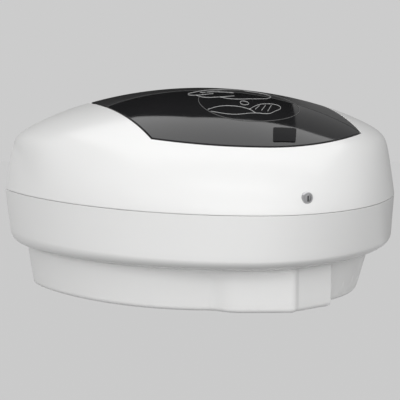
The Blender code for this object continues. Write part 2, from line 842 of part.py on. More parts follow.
def lock_keeper():
    """A post on the housing whose hook lies over the cam's end once the cam is turned sideways."""
    near = LOCK_LENGTH
    far = near + CAM_THICKNESS + 2 * GAP
    hook_low = LOCK_HEIGHT + CAM_WIDTH / 2 + 2 * GAP
    hook_high = hook_low + KEEPER_THICKNESS
    outer = -CAM_LENGTH - 2 * GAP
    base = SEAM_HEIGHT - LIP_ROOT + SHELF_THICKNESS + GAP
    made = lock_plate("lock_keeper", (outer - KEEPER_WIDTH / 2, outer), (base, hook_high), (near, far), STEEL)
    hook = lock_plate("keeper_hook", (outer - BITE, outer + CAM_LENGTH / 3), (hook_low, hook_high - GAP / 2),
                      (near + GAP / 2, far - GAP / 2))
    foot = lock_plate("keeper_foot", (outer - KEEPER_WIDTH, outer + BITE), (base + GAP / 2, base + KEEPER_THICKNESS),
                      (near + GAP / 3, far + KEEPER_FOOT))
    join(made, hook, foot)
    return made


# Lower housing


def back_panel():
    """The upright panel behind the works, which rises inside the lid and carries the hinge."""
    middle = PANEL_DEPTH + PANEL_THICKNESS / 2
    floor_left, floor_right = plan_sides(BOTTOM_PLAN, middle, SKIRT_ROUND)
    low_left, low_right = plan_sides(BOTTOM_PLAN, middle, WALL / 2)
    high_left, high_right = plan_sides(SEAM_PLAN, middle, WALL / 2)
    shoulder = SEAM_HEIGHT - LIP_ROOT + SHELF_THICKNESS / 2
    outline = [
        (low_left, SHELL_BOTTOM + SKIRT_ROUND),
        (floor_left, SHELL_BOTTOM + FLOOR_THICKNESS / 2),
        (floor_right, SHELL_BOTTOM + FLOOR_THICKNESS / 2),
        (low_right, SHELL_BOTTOM + SKIRT_ROUND),
        (high_right, shoulder),
        (PANEL_HALF_LOW, shoulder),
        (PANEL_HALF_LOW, PANEL_TOP_LOW),
        (PANEL_HALF_HIGH, PANEL_TOP_HIGH),
        (TOWER_HALF, PANEL_TOP_HIGH),
        (HINGE_HALF - 2 * GAP, HINGE_HEIGHT - BITE),
        (-HINGE_HALF + 2 * GAP, HINGE_HEIGHT - BITE),
        (-TOWER_HALF, PANEL_TOP_HIGH),
        (-PANEL_HALF_HIGH, PANEL_TOP_HIGH),
        (-PANEL_HALF_LOW, PANEL_TOP_LOW),
        (-PANEL_HALF_LOW, shoulder),
        (high_left, shoulder),
    ]
    return upright("back_panel", outline, PANEL_DEPTH, PANEL_DEPTH + PANEL_THICKNESS)


def keeper_pad():
    """A widening of the shelf, under the keeper's foot."""
    outer = -CAM_LENGTH - 2 * GAP
    low = SEAM_HEIGHT - LIP_ROOT
    return lock_plate("keeper_pad", (outer - KEEPER_WIDTH - GAP, outer + BITE + GAP),
                      (low + GAP / 2, low + SHELF_THICKNESS - GAP / 2),
                      (WALL, LOCK_LENGTH + CAM_THICKNESS + KEEPER_FOOT + 3 * GAP))


def lower_housing():
    made = shell_layer("lower_housing", SKIRT, 0.0, WALL, WHITE)
    space = box("skirt_space", (-SPAN, 0.0, SHELL_BOTTOM - OVERRUN), (SPAN, DEPTH + OVERRUN, SEAM_HEIGHT))
    keep(made, space)
    upper = [ring for ring in SKIRT if ring[0].z > SEAM_HEIGHT - 2 * LIP_ROOT]
    shelf = shell_layer("seam_shelf", upper, WALL - BITE, WALL + SEAM_GAP + LIP_THICKNESS)
    keep(shelf, box("shelf_space", (-SPAN, PANEL_DEPTH + GAP, SEAM_HEIGHT - LIP_ROOT),
                    (SPAN, DEPTH, SEAM_HEIGHT - LIP_ROOT + SHELF_THICKNESS)))
    lip = shell_layer("seam_lip", upper, WALL + SEAM_GAP, WALL + SEAM_GAP + LIP_THICKNESS - GAP / 2)
    keep(lip, box("lip_space", (-SPAN, PANEL_DEPTH + 2 * GAP, SEAM_HEIGHT - LIP_ROOT + BITE),
                  (SPAN, DEPTH, SEAM_HEIGHT + LIP_HEIGHT)))
    floor_outline = plan_points(BOTTOM_PLAN._replace(rear=GAP), SKIRT_ROUND - BITE)
    floor = slab("housing_floor", floor_outline, SHELL_BOTTOM + GAP / 2, SHELL_BOTTOM + FLOOR_THICKNESS)
    join(floor, back_panel())
    join(made, shelf, lip, floor, keeper_pad())
    for number, (left, right) in enumerate(knuckles(0)):
        join(made, rod(f"housing_knuckle_{number}", KNUCKLE_RADIUS, (left, HINGE_DEPTH, HINGE_HEIGHT),
                       (right, HINGE_DEPTH, HINGE_HEIGHT)))
    for number, (left, right) in enumerate(knuckles(1)):
        cut(made, box(f"knuckle_gap_{number}",
                      (left - 2 * GAP, -OVERRUN, HINGE_HEIGHT - KNUCKLE_RADIUS - 2 * GAP),
                      (right + 2 * GAP, DEPTH, CREST_HEIGHT)))
    cut(made, rod("housing_pin_hole", PIN_RADIUS + GAP, (-SPAN, HINGE_DEPTH, HINGE_HEIGHT),
                  (SPAN, HINGE_DEPTH, HINGE_HEIGHT), segments=FINE_SEGMENTS))
    for side in (-1, 1):
        cut(made, box(
            f"hook_slot_{side}",
            (side * HOOK_X - HOOK_WIDTH / 2 - GAP, PANEL_DEPTH - OVERRUN, HOOK_HEIGHT - HOOK_LIP - 2 * BRACKET_THICKNESS),
            (side * HOOK_X + HOOK_WIDTH / 2 + GAP, PANEL_DEPTH + OVERRUN, HOOK_HEIGHT + GAP),
        ))
    cut(made, bevel_uprights(box("pump_well", (WELL_LEFT, WELL_REAR, SHELL_BOTTOM - OVERRUN),
                                 (WELL_RIGHT, WELL_FRONT, SHELL_BOTTOM + OVERRUN)), WALL))
    for number, (x, depth) in enumerate(pod_screw_places()):
        cut(made, rod(f"floor_screw_hole_{number}", SCREW_RADIUS + GAP, (x, depth, SHELL_BOTTOM - OVERRUN),
                      (x, depth, SHELL_BOTTOM + OVERRUN), segments=FINE_SEGMENTS))
    for number, (x, height) in enumerate(board_posts()):
        join(made, rod(f"board_post_{number}", POST_RADIUS, (x, PANEL_DEPTH + BITE, height),
                       (x, BOARD_DEPTH - GAP, height), segments=FINE_SEGMENTS))
    return made


def pod_screw_places():
    return [(share_x * WIDTH / 2, share_depth * POD_DEPTH) for share_x, share_depth in POD_SCREW_PLACES_shares]


def board_posts():
    inset = 2 * POST_RADIUS
    return [(x, z) for x in (BOARD_LEFT + inset, BOARD_RIGHT - inset) for z in (BOARD_BOTTOM + inset, BOARD_TOP - inset)]


# Base pod


def pod_plan(rise_share, inset=0.0):
    """The pod's plan, which flares a little towards its top."""
    return Plan(
        POD_PEAK,
        POD_LEFT + POD_FLARE_LEFT * rise_share - inset,
        POD_RIGHT + POD_FLARE_RIGHT * rise_share - inset,
        POD_DEPTH + POD_FLARE_DEPTH * rise_share - inset,
        POD_LEFT_POWER_share,
        POD_RIGHT_POWER_share,
        0.0,
    )


def pod_body(name, wall, low, high, finish=None):
    """The pod's main form, or its inside when a wall is taken off."""
    rings = []
    for turn_share in (1.0, 0.6, 0.3, 0.0):
        turn = pi / 2 * turn_share
        inset = wall + POD_ROUND * (1 - cos(turn))
        height = low + POD_ROUND * (1 - sin(turn))
        plan = pod_plan(height / SHELL_BOTTOM)._replace(rear=wall)
        rings.append([spot(x, depth, height) for x, depth in plan_points(plan, inset)])
    plan = pod_plan(high / SHELL_BOTTOM)._replace(rear=wall)
    rings.append([spot(x, depth, high) for x, depth in plan_points(plan, wall)])
    return loft(name, rings, finish)


def bulge_left(name, wall, low, high, finish=None):
    outline = [
        (BULGE_LEFT + wall, BULGE_BACK - wall),
        (BULGE_GROOVE - wall, BULGE_BACK - wall),
        (BULGE_GROOVE - wall, BULGE_FRONT_RIGHT - wall),
        ((BULGE_LEFT + BULGE_GROOVE) / 2, (BULGE_FRONT_LEFT + BULGE_FRONT_RIGHT) / 2 + BITE - wall),
        (BULGE_LEFT + wall, BULGE_FRONT_LEFT - wall),
    ]
    return bevel_uprights(slab(name, outline, low, high, finish), BULGE_CORNER)


def bulge_right(name, wall, low, high, finish=None):
    outline = [
        (BULGE_GROOVE - 2 * BULGE_CORNER + wall, BULGE_BACK - 2 * wall),
        (BULGE_RIGHT - wall, BULGE_BACK - 2 * wall),
        (BULGE_RIGHT - wall, BULGE_FACET_RIGHT - wall),
        (BULGE_GROOVE, BULGE_FACET_LEFT - wall),
        (BULGE_GROOVE - 2 * BULGE_CORNER + wall, BULGE_FACET_LEFT - wall),
    ]
    return bevel_uprights(slab(name, outline, low, high, finish), BULGE_CORNER / 2)


def base_pod():
    top = SHELL_BOTTOM - GAP
    made = pod_body("base_pod", 0.0, 0.0, top, WHITE)
    join(made, bulge_left("bulge_left", 0.0, GAP, top - GAP), bulge_right("bulge_right", 0.0, 2 * GAP, top - 2 * GAP))
    above = SHELL_BOTTOM + OVERRUN
    inside = pod_body("pod_inside", POD_WALL, POD_FLOOR, above)
    join(inside, bulge_left("bulge_left_inside", POD_WALL, POD_FLOOR + GAP / 2, above - GAP))
    join(inside, bulge_right("bulge_right_inside", POD_WALL, POD_FLOOR + GAP / 3, above - 2 * GAP))
    cut(made, inside)
    for number, (x, depth) in enumerate(pod_screw_places()):
        boss = rod(f"pod_boss_{number}", POD_BOSS_RADIUS, (x, depth, POD_FLOOR - BITE), (x, depth, top - GAP / 2),
                   segments=FINE_SEGMENTS)
        hole = rod(f"pod_boss_hole_{number}", SCREW_RADIUS + GAP, (x, depth, SHELL_BOTTOM - POD_BOSS_DROP),
                   (x, depth, above), segments=FINE_SEGMENTS)
        join(made, boss)
        cut(made, hole)
    cut(made, *pod_floor_holes())
    for side in (-1, 1):
        join(made, rod(f"sensor_post_{side}", POST_RADIUS, (SENSOR_X + side * SENSOR_POST, SENSOR_DEPTH, POD_FLOOR - BITE),
                       (SENSOR_X + side * SENSOR_POST, SENSOR_DEPTH, SENSOR_BOARD_HEIGHT - GAP), segments=FINE_SEGMENTS))
    return made


def door_edges():
    """The battery door's left, right, hinge and front places."""
    inset = BOX_WALL + BITE
    front = box_front() - inset - GAP
    return BOX_LEFT + 2 * inset, BOX_RIGHT - 2 * inset, BOX_REAR + inset + DOOR_SWING, front


def box_front():
    """The battery box's front: two rows of cells, with their clearances and the walls."""
    return BOX_REAR + 2 * BOX_WALL + 4 * CELL_RADIUS + 4 * GAP


def pod_floor_holes():
    left, right, hinge, front = door_edges()
    middle = DOOR_LIFT + DOOR_THICKNESS / 2
    door_hole = box("door_hole", (left - 2 * GAP, hinge - DOOR_SWING, -OVERRUN),
                    (right + 2 * GAP, front + 2 * GAP, POD_FLOOR + OVERRUN))
    groove = box(
        "door_pin_groove",
        (left - DOOR_PIN_LENGTH - 2 * GAP, hinge - DOOR_PIN_RADIUS - GAP, middle - DOOR_PIN_RADIUS - GAP),
        (right + DOOR_PIN_LENGTH + 2 * GAP, hinge + DOOR_PIN_RADIUS + GAP, POD_FLOOR + OVERRUN),
    )
    nozzle_x = PUMP_X + TUBE_BEND
    nozzle_hole = rod("nozzle_hole", NOZZLE_RADIUS + GAP, (nozzle_x, PUMP_DEPTH, -OVERRUN),
                      (nozzle_x, PUMP_DEPTH, POD_FLOOR + OVERRUN))
    sensor_hole = box("sensor_hole", (SENSOR_X - SENSOR_WIDTH / 2 - GAP, SENSOR_DEPTH - SENSOR_LENGTH / 2 - GAP, -OVERRUN),
                      (SENSOR_X + SENSOR_WIDTH / 2 + GAP, SENSOR_DEPTH + SENSOR_LENGTH / 2 + GAP, POD_FLOOR + OVERRUN))
    start = SWITCH_X - SWITCH_TRAVEL / 2 - SWITCH_KNOB / 2
    switch_hole = box("switch_hole", (start - GAP, SWITCH_DEPTH - SWITCH_KNOB_WIDTH / 2 - GAP, -OVERRUN),
                      (start + SWITCH_KNOB + SWITCH_TRAVEL + GAP, SWITCH_DEPTH + SWITCH_KNOB_WIDTH / 2 + GAP,
                       POD_FLOOR + OVERRUN))
    screws = [
        rod(f"foot_screw_hole_{side}", SCREW_RADIUS + GAP, (PUMP_X + side * FOOT_SCREW, foot_screw_depth(), POD_FLOOR / 3),
            (PUMP_X + side * FOOT_SCREW, foot_screw_depth(), POD_FLOOR + OVERRUN), segments=FINE_SEGMENTS)
        for side in (-1, 1)
    ]
    return [door_hole, groove, nozzle_hole, sensor_hole, switch_hole, *screws]


# Wall bracket


def wall_bracket():
    made = box("wall_bracket", (-BRACKET_HALF, 0.0, BRACKET_BOTTOM), (BRACKET_HALF, BRACKET_THICKNESS, BRACKET_TOP), GREY)
    for side in (-1, 1):
        left = side * HOOK_X - HOOK_WIDTH / 2
        right = side * HOOK_X + HOOK_WIDTH / 2
        lip = PANEL_DEPTH + PANEL_THICKNESS + GAP
        arm = box(f"hook_arm_{side}", (left, BITE, HOOK_HEIGHT - BRACKET_THICKNESS), (right, lip + BRACKET_THICKNESS / 2,
                                                                                 HOOK_HEIGHT))
        tip = box(f"hook_tip_{side}", (left, lip, HOOK_HEIGHT - BRACKET_THICKNESS),
                  (right, lip + BRACKET_THICKNESS / 2, HOOK_HEIGHT + HOOK_LIP))
        join(made, arm, tip)
        for level in (BRACKET_BOTTOM + SLOT_LENGTH, BRACKET_TOP - SLOT_LENGTH):
            cut(made, bevel_slot(f"wall_slot_{side}_{level:.3f}", side * SLOT_X, level))
    return made


def bevel_slot(name, x, height):
    """A screw slot through the bracket, upright, with round ends."""
    points = []
    radius = SLOT_WIDTH / 2
    straight = SLOT_LENGTH / 2 - radius
    for i in range(FINE_SEGMENTS):
        turn = 2 * pi * (i + 0.5) / FINE_SEGMENTS
        rise = straight if sin(turn) > 0 else -straight
        points.append((x + radius * cos(turn), height + rise + radius * sin(turn)))
    return upright(name, points, -OVERRUN, BRACKET_THICKNESS + OVERRUN)


# Reservoir


def tank_body(name, wall, finish=None):
    """The upper tank with a rounded top edge, or its inside when a wall is taken off."""
    plan = Plan(SEAM_PEAK, TANK_LEFT, TANK_RIGHT, TANK_DEPTH, LEFT_POWER_share, RIGHT_POWER_share, TANK_REAR + wall)
    rings = [[spot(x, depth, TANK_BOTTOM + wall) for x, depth in plan_points(plan, wall)]]
    for turn_share in (0.0, 0.35, 0.7, 1.0):
        turn = pi / 2 * turn_share
        inset = wall + TANK_ROUND * (1 - cos(turn))
        height = TANK_TOP - wall - TANK_ROUND * (1 - sin(turn))
        rings.append([spot(x, depth, height) for x, depth in plan_points(plan, inset)])
    return loft(name, rings, finish)


def sump_body(name, wall, finish=None):
    """The lower part of the reservoir, beside the pump."""
    plan = Plan(SUMP_PEAK, SUMP_LEFT, SUMP_RIGHT, SUMP_DEPTH, SUMP_LEFT_POWER_share, SUMP_RIGHT_POWER_share,
                TANK_REAR + wall)
    low = SHELL_BOTTOM + FLOOR_THICKNESS + GAP + wall
    high = TANK_BOTTOM + 2 * TANK_WALL
    outline = plan_points(plan, wall)
    return slab(name, outline, low, high, finish)


def reservoir():
    made = tank_body("reservoir", 0.0, TANK)
    sump = sump_body("sump", 0.0)
    neck = rod("neck", NECK_RADIUS, (NECK_X, NECK_DEPTH, TANK_TOP - TANK_WALL / 2), (NECK_X, NECK_DEPTH, TANK_TOP + NECK_HEIGHT),
               segments=ROUND_SEGMENTS)
    outlet_height = PUMP_HEIGHT - TUBE_TURN
    outlet = rod("outlet", TUBE_RADIUS, (SUMP_PEAK + SUMP_RIGHT - 2 * TANK_WALL, PUMP_DEPTH, outlet_height),
                 (TUBE_START - GAP, PUMP_DEPTH, outlet_height), segments=FINE_SEGMENTS)
    join(made, sump, neck, outlet)
    cut(made, tank_body("tank_inside", TANK_WALL), sump_body("sump_inside", TANK_WALL))
    cut(made, rod("neck_hole", NECK_RADIUS - TANK_WALL, (NECK_X, NECK_DEPTH, TANK_TOP - 2 * TANK_WALL),
                  (NECK_X, NECK_DEPTH, TANK_TOP + NECK_HEIGHT + OVERRUN)))
    cut(made, rod("outlet_hole", TUBE_RADIUS / 2, (SUMP_PEAK, PUMP_DEPTH, outlet_height),
                  (TUBE_START + OVERRUN, PUMP_DEPTH, outlet_height), segments=FINE_SEGMENTS))
    return made


def cap_levels():
    under = TANK_TOP + NECK_HEIGHT + SEAL_THICKNESS + 2 * GAP
    return under, under + CAP_WALL


def filler_cap():
    under, top = cap_levels()
    base = top - CAP_HEIGHT
    inner = NECK_RADIUS + 2 * GAP
    rim = NECK_RADIUS + 2 * GAP + CAP_WALL
    profile = [
        (0.0, top), (rim - CAP_WALL / 2, top), (rim, top - CAP_WALL / 2), (rim, base),
        (inner, base), (inner, under), (0.0, under),
    ]
    made = turned("filler_cap", profile, (NECK_X, NECK_DEPTH, 0.0), WHITE)
    grip = box("cap_grip", (NECK_X - rim * 0.6, NECK_DEPTH - CAP_WALL, top - BITE),
               (NECK_X + rim * 0.6, NECK_DEPTH + CAP_WALL, top + 2 * CAP_WALL))
    join(made, grip)
    return made


def filler_seal():
    low = TANK_TOP + NECK_HEIGHT + GAP
    high = low + SEAL_THICKNESS
    inner = NECK_RADIUS - 2 * TANK_WALL
    profile = [(inner, high), (NECK_RADIUS, high), (NECK_RADIUS, low), (inner, low), (inner, high)]
    return turned("filler_seal", profile, (NECK_X, NECK_DEPTH, 0.0), RUBBER)


# Pump


def pump_levels():
    """Depths of the pump's plate, pocket and cover, from the wall side forwards."""
    pocket = PUMP_DEPTH - ROTOR_LENGTH / 2 - 2 * GAP
    face = PUMP_DEPTH + ROTOR_LENGTH / 2 + 2 * GAP
    return pocket - PLATE_THICKNESS, pocket, face


def track_outline(radius, bottom):
    """An arch over the rotor with straight sides down to a level."""
    points = [(PUMP_X + radius * cos(pi * i / ROUND_SEGMENTS), PUMP_HEIGHT + radius * sin(pi * i / ROUND_SEGMENTS))
              for i in range(ROUND_SEGMENTS + 1)]
    return [*points, (PUMP_X - radius, bottom), (PUMP_X + radius, bottom)]


def foot_screw_depth():
    plate, _, _ = pump_levels()
    return plate - FOOT_DEPTH / 2


def pump_housing():
    plate, pocket, face = pump_levels()
    inner = TUBE_BEND + TUBE_RADIUS + GAP
    made = upright("pump_housing", track_outline(inner + TRACK_WALL, PUMP_BOTTOM), plate, face, GREY)
    cut(made, upright("pump_pocket", track_outline(inner, PUMP_BOTTOM - OVERRUN), pocket, face + OVERRUN))
    cut(made, box("tube_gap", (PUMP_X - inner - TRACK_WALL - OVERRUN, pocket, PUMP_BOTTOM - OVERRUN),
                  (PUMP_X - inner + BITE, face + OVERRUN, PUMP_HEIGHT - GAP)))
    foot_low = POD_FLOOR + GAP
    web = box("pump_web", (PUMP_X - FOOT_WEB, plate, foot_low), (PUMP_X + FOOT_WEB, pocket, PUMP_BOTTOM + BITE))
    foot = box("pump_foot", (PUMP_X - FOOT_HALF, plate - FOOT_DEPTH, foot_low), (PUMP_X + FOOT_HALF, pocket - BITE,
                                                                                foot_low + FOOT_THICKNESS))
    join(made, web, foot)
    cut(made, rod("shaft_hole", SHAFT_RADIUS + GAP, (PUMP_X, plate - OVERRUN, PUMP_HEIGHT),
                  (PUMP_X, pocket + OVERRUN, PUMP_HEIGHT), segments=FINE_SEGMENTS))
    for side in (-1, 1):
        cut(made, rod(f"foot_hole_{side}", SCREW_RADIUS + GAP, (PUMP_X + side * FOOT_SCREW, foot_screw_depth(), -OVERRUN),
                      (PUMP_X + side * FOOT_SCREW, foot_screw_depth(), foot_low + FOOT_THICKNESS + OVERRUN),
                      segments=FINE_SEGMENTS))
    return made


def pump_cover():
    _, _, face = pump_levels()
    inner = TUBE_BEND + TUBE_RADIUS + GAP
    low = face + GAP
    made = upright("pump_cover", track_outline(inner + TRACK_WALL, PUMP_BOTTOM), low, low + COVER_THICKNESS, GREY)
    cut(made, rod("cover_hole", SHAFT_RADIUS + GAP, (PUMP_X, low - OVERRUN, PUMP_HEIGHT),
                  (PUMP_X, low + COVER_THICKNESS + OVERRUN, PUMP_HEIGHT), segments=FINE_SEGMENTS))
    return made


def gearbox():
    plate, _, _ = pump_levels()
    made = rod("gearbox", GEARBOX_RADIUS, (PUMP_X, plate - GAP, PUMP_HEIGHT), (PUMP_X, plate - GAP - GEARBOX_LENGTH, PUMP_HEIGHT),
               STEEL)
    cut(made, rod("gearbox_hole", SHAFT_RADIUS + GAP, (PUMP_X, plate + OVERRUN, PUMP_HEIGHT),
                  (PUMP_X, plate - GAP - GEARBOX_LENGTH / 2, PUMP_HEIGHT), segments=FINE_SEGMENTS))
    return made


def pump_motor():
    plate, _, _ = pump_levels()
    front = plate - 2 * GAP - GEARBOX_LENGTH
    made = rod("pump_motor", MOTOR_RADIUS, (PUMP_X, front, PUMP_HEIGHT), (PUMP_X, front - MOTOR_LENGTH, PUMP_HEIGHT), STEEL)
    boss = rod("motor_boss", MOTOR_BOSS, (PUMP_X, front - MOTOR_LENGTH + BITE, PUMP_HEIGHT),
               (PUMP_X, front - MOTOR_LENGTH - CAP_WALL, PUMP_HEIGHT), segments=FINE_SEGMENTS)
    join(made, boss)
    return made


def roller_orbit():
    return TUBE_BEND - TUBE_RADIUS - ROLLER_CLEARANCE - ROLLER_RADIUS


def roller_places():
    return [(PUMP_X + roller_orbit() * cos(pi / 2 + 2 * pi * i / 3), PUMP_HEIGHT + roller_orbit() * sin(pi / 2 + 2 * pi * i / 3))
            for i in range(3)]


def pump_rotor():
    rear = PUMP_DEPTH - ROTOR_LENGTH / 2
    front = PUMP_DEPTH + ROTOR_LENGTH / 2
    disc = roller_orbit() + ROLLER_PIN_RADIUS + ROTOR_DISC / 2
    made = rod("pump_rotor", ROTOR_HUB, (PUMP_X, rear, PUMP_HEIGHT), (PUMP_X, front, PUMP_HEIGHT), WHITE)
    plate, _, face = pump_levels()
    shaft = rod("rotor_shaft", SHAFT_RADIUS, (PUMP_X, plate - GEARBOX_LENGTH / 2 + GAP, PUMP_HEIGHT),
                (PUMP_X, face + GAP + COVER_THICKNESS, PUMP_HEIGHT), segments=FINE_SEGMENTS)
    rear_disc = rod("rotor_rear_disc", disc, (PUMP_X, rear, PUMP_HEIGHT), (PUMP_X, rear + ROTOR_DISC, PUMP_HEIGHT))
    front_disc = rod("rotor_front_disc", disc, (PUMP_X, front - ROTOR_DISC, PUMP_HEIGHT), (PUMP_X, front, PUMP_HEIGHT))
    join(made, shaft, rear_disc, front_disc)
    for number, (x, height) in enumerate(roller_places()):
        cut(made, rod(f"roller_pin_hole_{number}", ROLLER_PIN_RADIUS + GAP, (x, rear - OVERRUN, height),
                      (x, front + OVERRUN, height), segments=FINE_SEGMENTS))
    return made


def rollers():
    rear = PUMP_DEPTH - ROTOR_LENGTH / 2
    front = PUMP_DEPTH + ROTOR_LENGTH / 2
    for number, (x, height) in enumerate(roller_places(), 1):
        roller = rod(f"roller_{number}", ROLLER_RADIUS, (x, rear + ROTOR_DISC + GAP, height),
                     (x, front - ROTOR_DISC - GAP, height), STEEL)
        cut(roller, rod(f"roller_bore_{number}", ROLLER_PIN_RADIUS + GAP, (x, rear - OVERRUN, height),
                        (x, front + OVERRUN, height), segments=FINE_SEGMENTS))
        pivot(roller, (x, PUMP_DEPTH, height))
        pin = rod(f"roller_pin_{number}", ROLLER_PIN_RADIUS, (x, rear + GAP, height), (x, front - GAP, height),
                  STEEL, FINE_SEGMENTS)
        pivot(pin, (PUMP_X, PUMP_DEPTH, PUMP_HEIGHT))


def tube_route():
    """The pump tube's middle line, as x and height: out of the reservoir, over the rotor and down to the nozzle."""
    low = PUMP_HEIGHT - TUBE_TURN
    left = PUMP_X - TUBE_BEND
    turn_x = left - TUBE_TURN
    points = [(TUBE_START, low), ((TUBE_START + turn_x) / 2, low)]
    for i in range(7):
        turn = -pi / 2 + pi / 2 * i / 6
        points.append((turn_x + TUBE_TURN * cos(turn), PUMP_HEIGHT + TUBE_TURN * sin(turn)))
    for i in range(1, 15):
        turn = pi - pi * i / 14
        points.append((PUMP_X + TUBE_BEND * cos(turn), PUMP_HEIGHT + TUBE_BEND * sin(turn)))
    drop = PUMP_HEIGHT - NOZZLE_TOP - GAP
    points += [(PUMP_X + TUBE_BEND, PUMP_HEIGHT - drop * i / 4) for i in range(1, 5)]
    return points


def pump_tube():
    curve = bpy.data.curves.new("pump_tube", "CURVE")
    curve.dimensions = "3D"
    curve.bevel_depth = TUBE_RADIUS
    curve.bevel_resolution = 2
    curve.use_fill_caps = True
    line = curve.splines.new("POLY")
    route = tube_route()
    line.points.add(len(route) - 1)
    for point, (x, height) in zip(line.points, route):
        point.co = (*spot(x, PUMP_DEPTH, height), 1.0)
    curve.materials.append(RUBBER)
    made = bpy.data.objects.new("pump_tube", curve)
    PARTS.objects.link(made)
    return made


def nozzle():
    """The spout through the pod's floor, hanging on its flange, with the tube pushed against its top."""
    flange_low = POD_FLOOR + GAP
    flange_high = flange_low + PLATE_THICKNESS
    bore = TUBE_RADIUS / 2
    profile = [
        (bore, NOZZLE_TOP), (TUBE_RADIUS + BITE, NOZZLE_TOP), (NOZZLE_RADIUS, flange_high), (NOZZLE_FLANGE, flange_high),
        (NOZZLE_FLANGE, flange_low), (NOZZLE_RADIUS, flange_low), (NOZZLE_RADIUS, NOZZLE_TIP + BITE),
        (NOZZLE_RADIUS - BITE, NOZZLE_TIP), (bore, NOZZLE_TIP), (bore, NOZZLE_TOP),
    ]
    return turned("nozzle", profile, (PUMP_X + TUBE_BEND, PUMP_DEPTH, 0.0), GREY)


# Sensor and boards


def sensor_window():
    floor = POD_FLOOR + GAP
    half = SENSOR_WIDTH / 2
    along = SENSOR_LENGTH / 2
    made = box("sensor_window", (SENSOR_X - half, SENSOR_DEPTH - along, NOZZLE_TIP),
               (SENSOR_X + half, SENSOR_DEPTH + along, floor + BITE), SMOKE)
    flange = box("sensor_flange", (SENSOR_X - half + GAP, SENSOR_DEPTH - along - BITE - GAP, floor),
                 (SENSOR_X + half - GAP, SENSOR_DEPTH + along + BITE + GAP, floor + 2 * BITE))
    join(made, flange)
    return made


def sensor_board():
    half = SENSOR_BOARD_WIDTH / 2
    along = SENSOR_LENGTH / 2
    return box("sensor_board", (SENSOR_X - half, SENSOR_DEPTH - along, SENSOR_BOARD_HEIGHT),
               (SENSOR_X + half, SENSOR_DEPTH + along, SENSOR_BOARD_HEIGHT + BOARD_THICKNESS), BOARD)


def infrared_lamps():
    for name, side in (("infrared_emitter", -1), ("infrared_receiver", 1)):
        x = SENSOR_X + side * LED_SPREAD
        top = SENSOR_BOARD_HEIGHT - GAP
        made = rod(name, LED_RADIUS, (x, SENSOR_DEPTH, top), (x, SENSOR_DEPTH, top - LED_LENGTH), SMOKE, FINE_SEGMENTS)
        dome = rod(name + "_dome", LED_RADIUS, (x, SENSOR_DEPTH, top - LED_LENGTH + BITE / 2),
                   (x, SENSOR_DEPTH, top - LED_LENGTH - LED_RADIUS / 2), None, FINE_SEGMENTS, LED_RADIUS / 2)
        join(made, dome)


def circuit_board():
    made = box("circuit_board", (BOARD_LEFT, BOARD_DEPTH, BOARD_BOTTOM), (BOARD_RIGHT, BOARD_DEPTH + BOARD_THICKNESS, BOARD_TOP), BOARD)
    face = BOARD_DEPTH + BOARD_THICKNESS
    wide = BOARD_RIGHT - BOARD_LEFT
    tall = BOARD_TOP - BOARD_BOTTOM
    for number, (x_share, z_share, w_share, h_share) in enumerate(CHIP_shares):
        x = BOARD_LEFT + wide * x_share
        z = BOARD_BOTTOM + tall * z_share
        join(made, box(f"chip_{number}", (x, face - BITE, z), (x + wide * w_share, face + 2 * BOARD_THICKNESS, z + tall * h_share)))
    return made


# Batteries


def cell_layout():
    """The two rows' depths, and where each cell starts."""
    rows = [BOX_REAR + BOX_WALL + GAP + CELL_RADIUS, BOX_REAR + BOX_WALL + 3 * GAP + 3 * CELL_RADIUS]
    first = BOX_LEFT + BOX_WALL + GAP + CONTACT_THICKNESS + CONTACT_CONE + GAP
    second = first + CELL_LENGTH + CELL_NUB + GAP
    return rows, (first, second)


def battery_box():
    low = POD_FLOOR + GAP
    high = BOX_CELL_HEIGHT + CELL_RADIUS + GAP + BOX_WALL
    made = box("battery_box", (BOX_LEFT, BOX_REAR, low), (BOX_RIGHT, box_front(), high), BLACK)
    cut(made, box("battery_room", (BOX_LEFT + BOX_WALL, BOX_REAR + BOX_WALL, low - OVERRUN),
                  (BOX_RIGHT - BOX_WALL, box_front() - BOX_WALL, high - BOX_WALL)))
    return made


def batteries():
    rows, starts = cell_layout()
    number = 0
    for depth in rows:
        for start in starts:
            number += 1
            made = rod(f"battery_{number}", CELL_RADIUS, (start, depth, BOX_CELL_HEIGHT),
                       (start + CELL_LENGTH, depth, BOX_CELL_HEIGHT), CELL, ROUND_SEGMENTS)
            nub = rod(f"battery_nub_{number}", CELL_NUB_RADIUS, (start + CELL_LENGTH - BITE, depth, BOX_CELL_HEIGHT),
                      (start + CELL_LENGTH + CELL_NUB, depth, BOX_CELL_HEIGHT), None, FINE_SEGMENTS)
            join(made, nub)


def battery_contacts():
    rows, starts = cell_layout()
    low = BOX_CELL_HEIGHT - CELL_RADIUS / 2
    high = BOX_CELL_HEIGHT + CELL_RADIUS / 2
    plate = BOX_LEFT + BOX_WALL + GAP
    for name, depth in (("battery_spring_rear", rows[0]), ("battery_spring_front", rows[1])):
        made = box(name, (plate, depth - CELL_RADIUS / 2, low), (plate + CONTACT_THICKNESS, depth + CELL_RADIUS / 2, high), STEEL)
        join(made, rod(name + "_cone", CELL_RADIUS / 2, (plate + CONTACT_THICKNESS / 2, depth, BOX_CELL_HEIGHT),
                       (plate + CONTACT_THICKNESS + CONTACT_CONE, depth, BOX_CELL_HEIGHT), None, FINE_SEGMENTS,
                       CELL_NUB_RADIUS))
    end = starts[1] + CELL_LENGTH + CELL_NUB + GAP
    box("battery_link", (end, rows[0] - CELL_RADIUS / 2, low), (BOX_RIGHT - BOX_WALL - GAP, rows[1] + CELL_RADIUS / 2, high), STEEL)


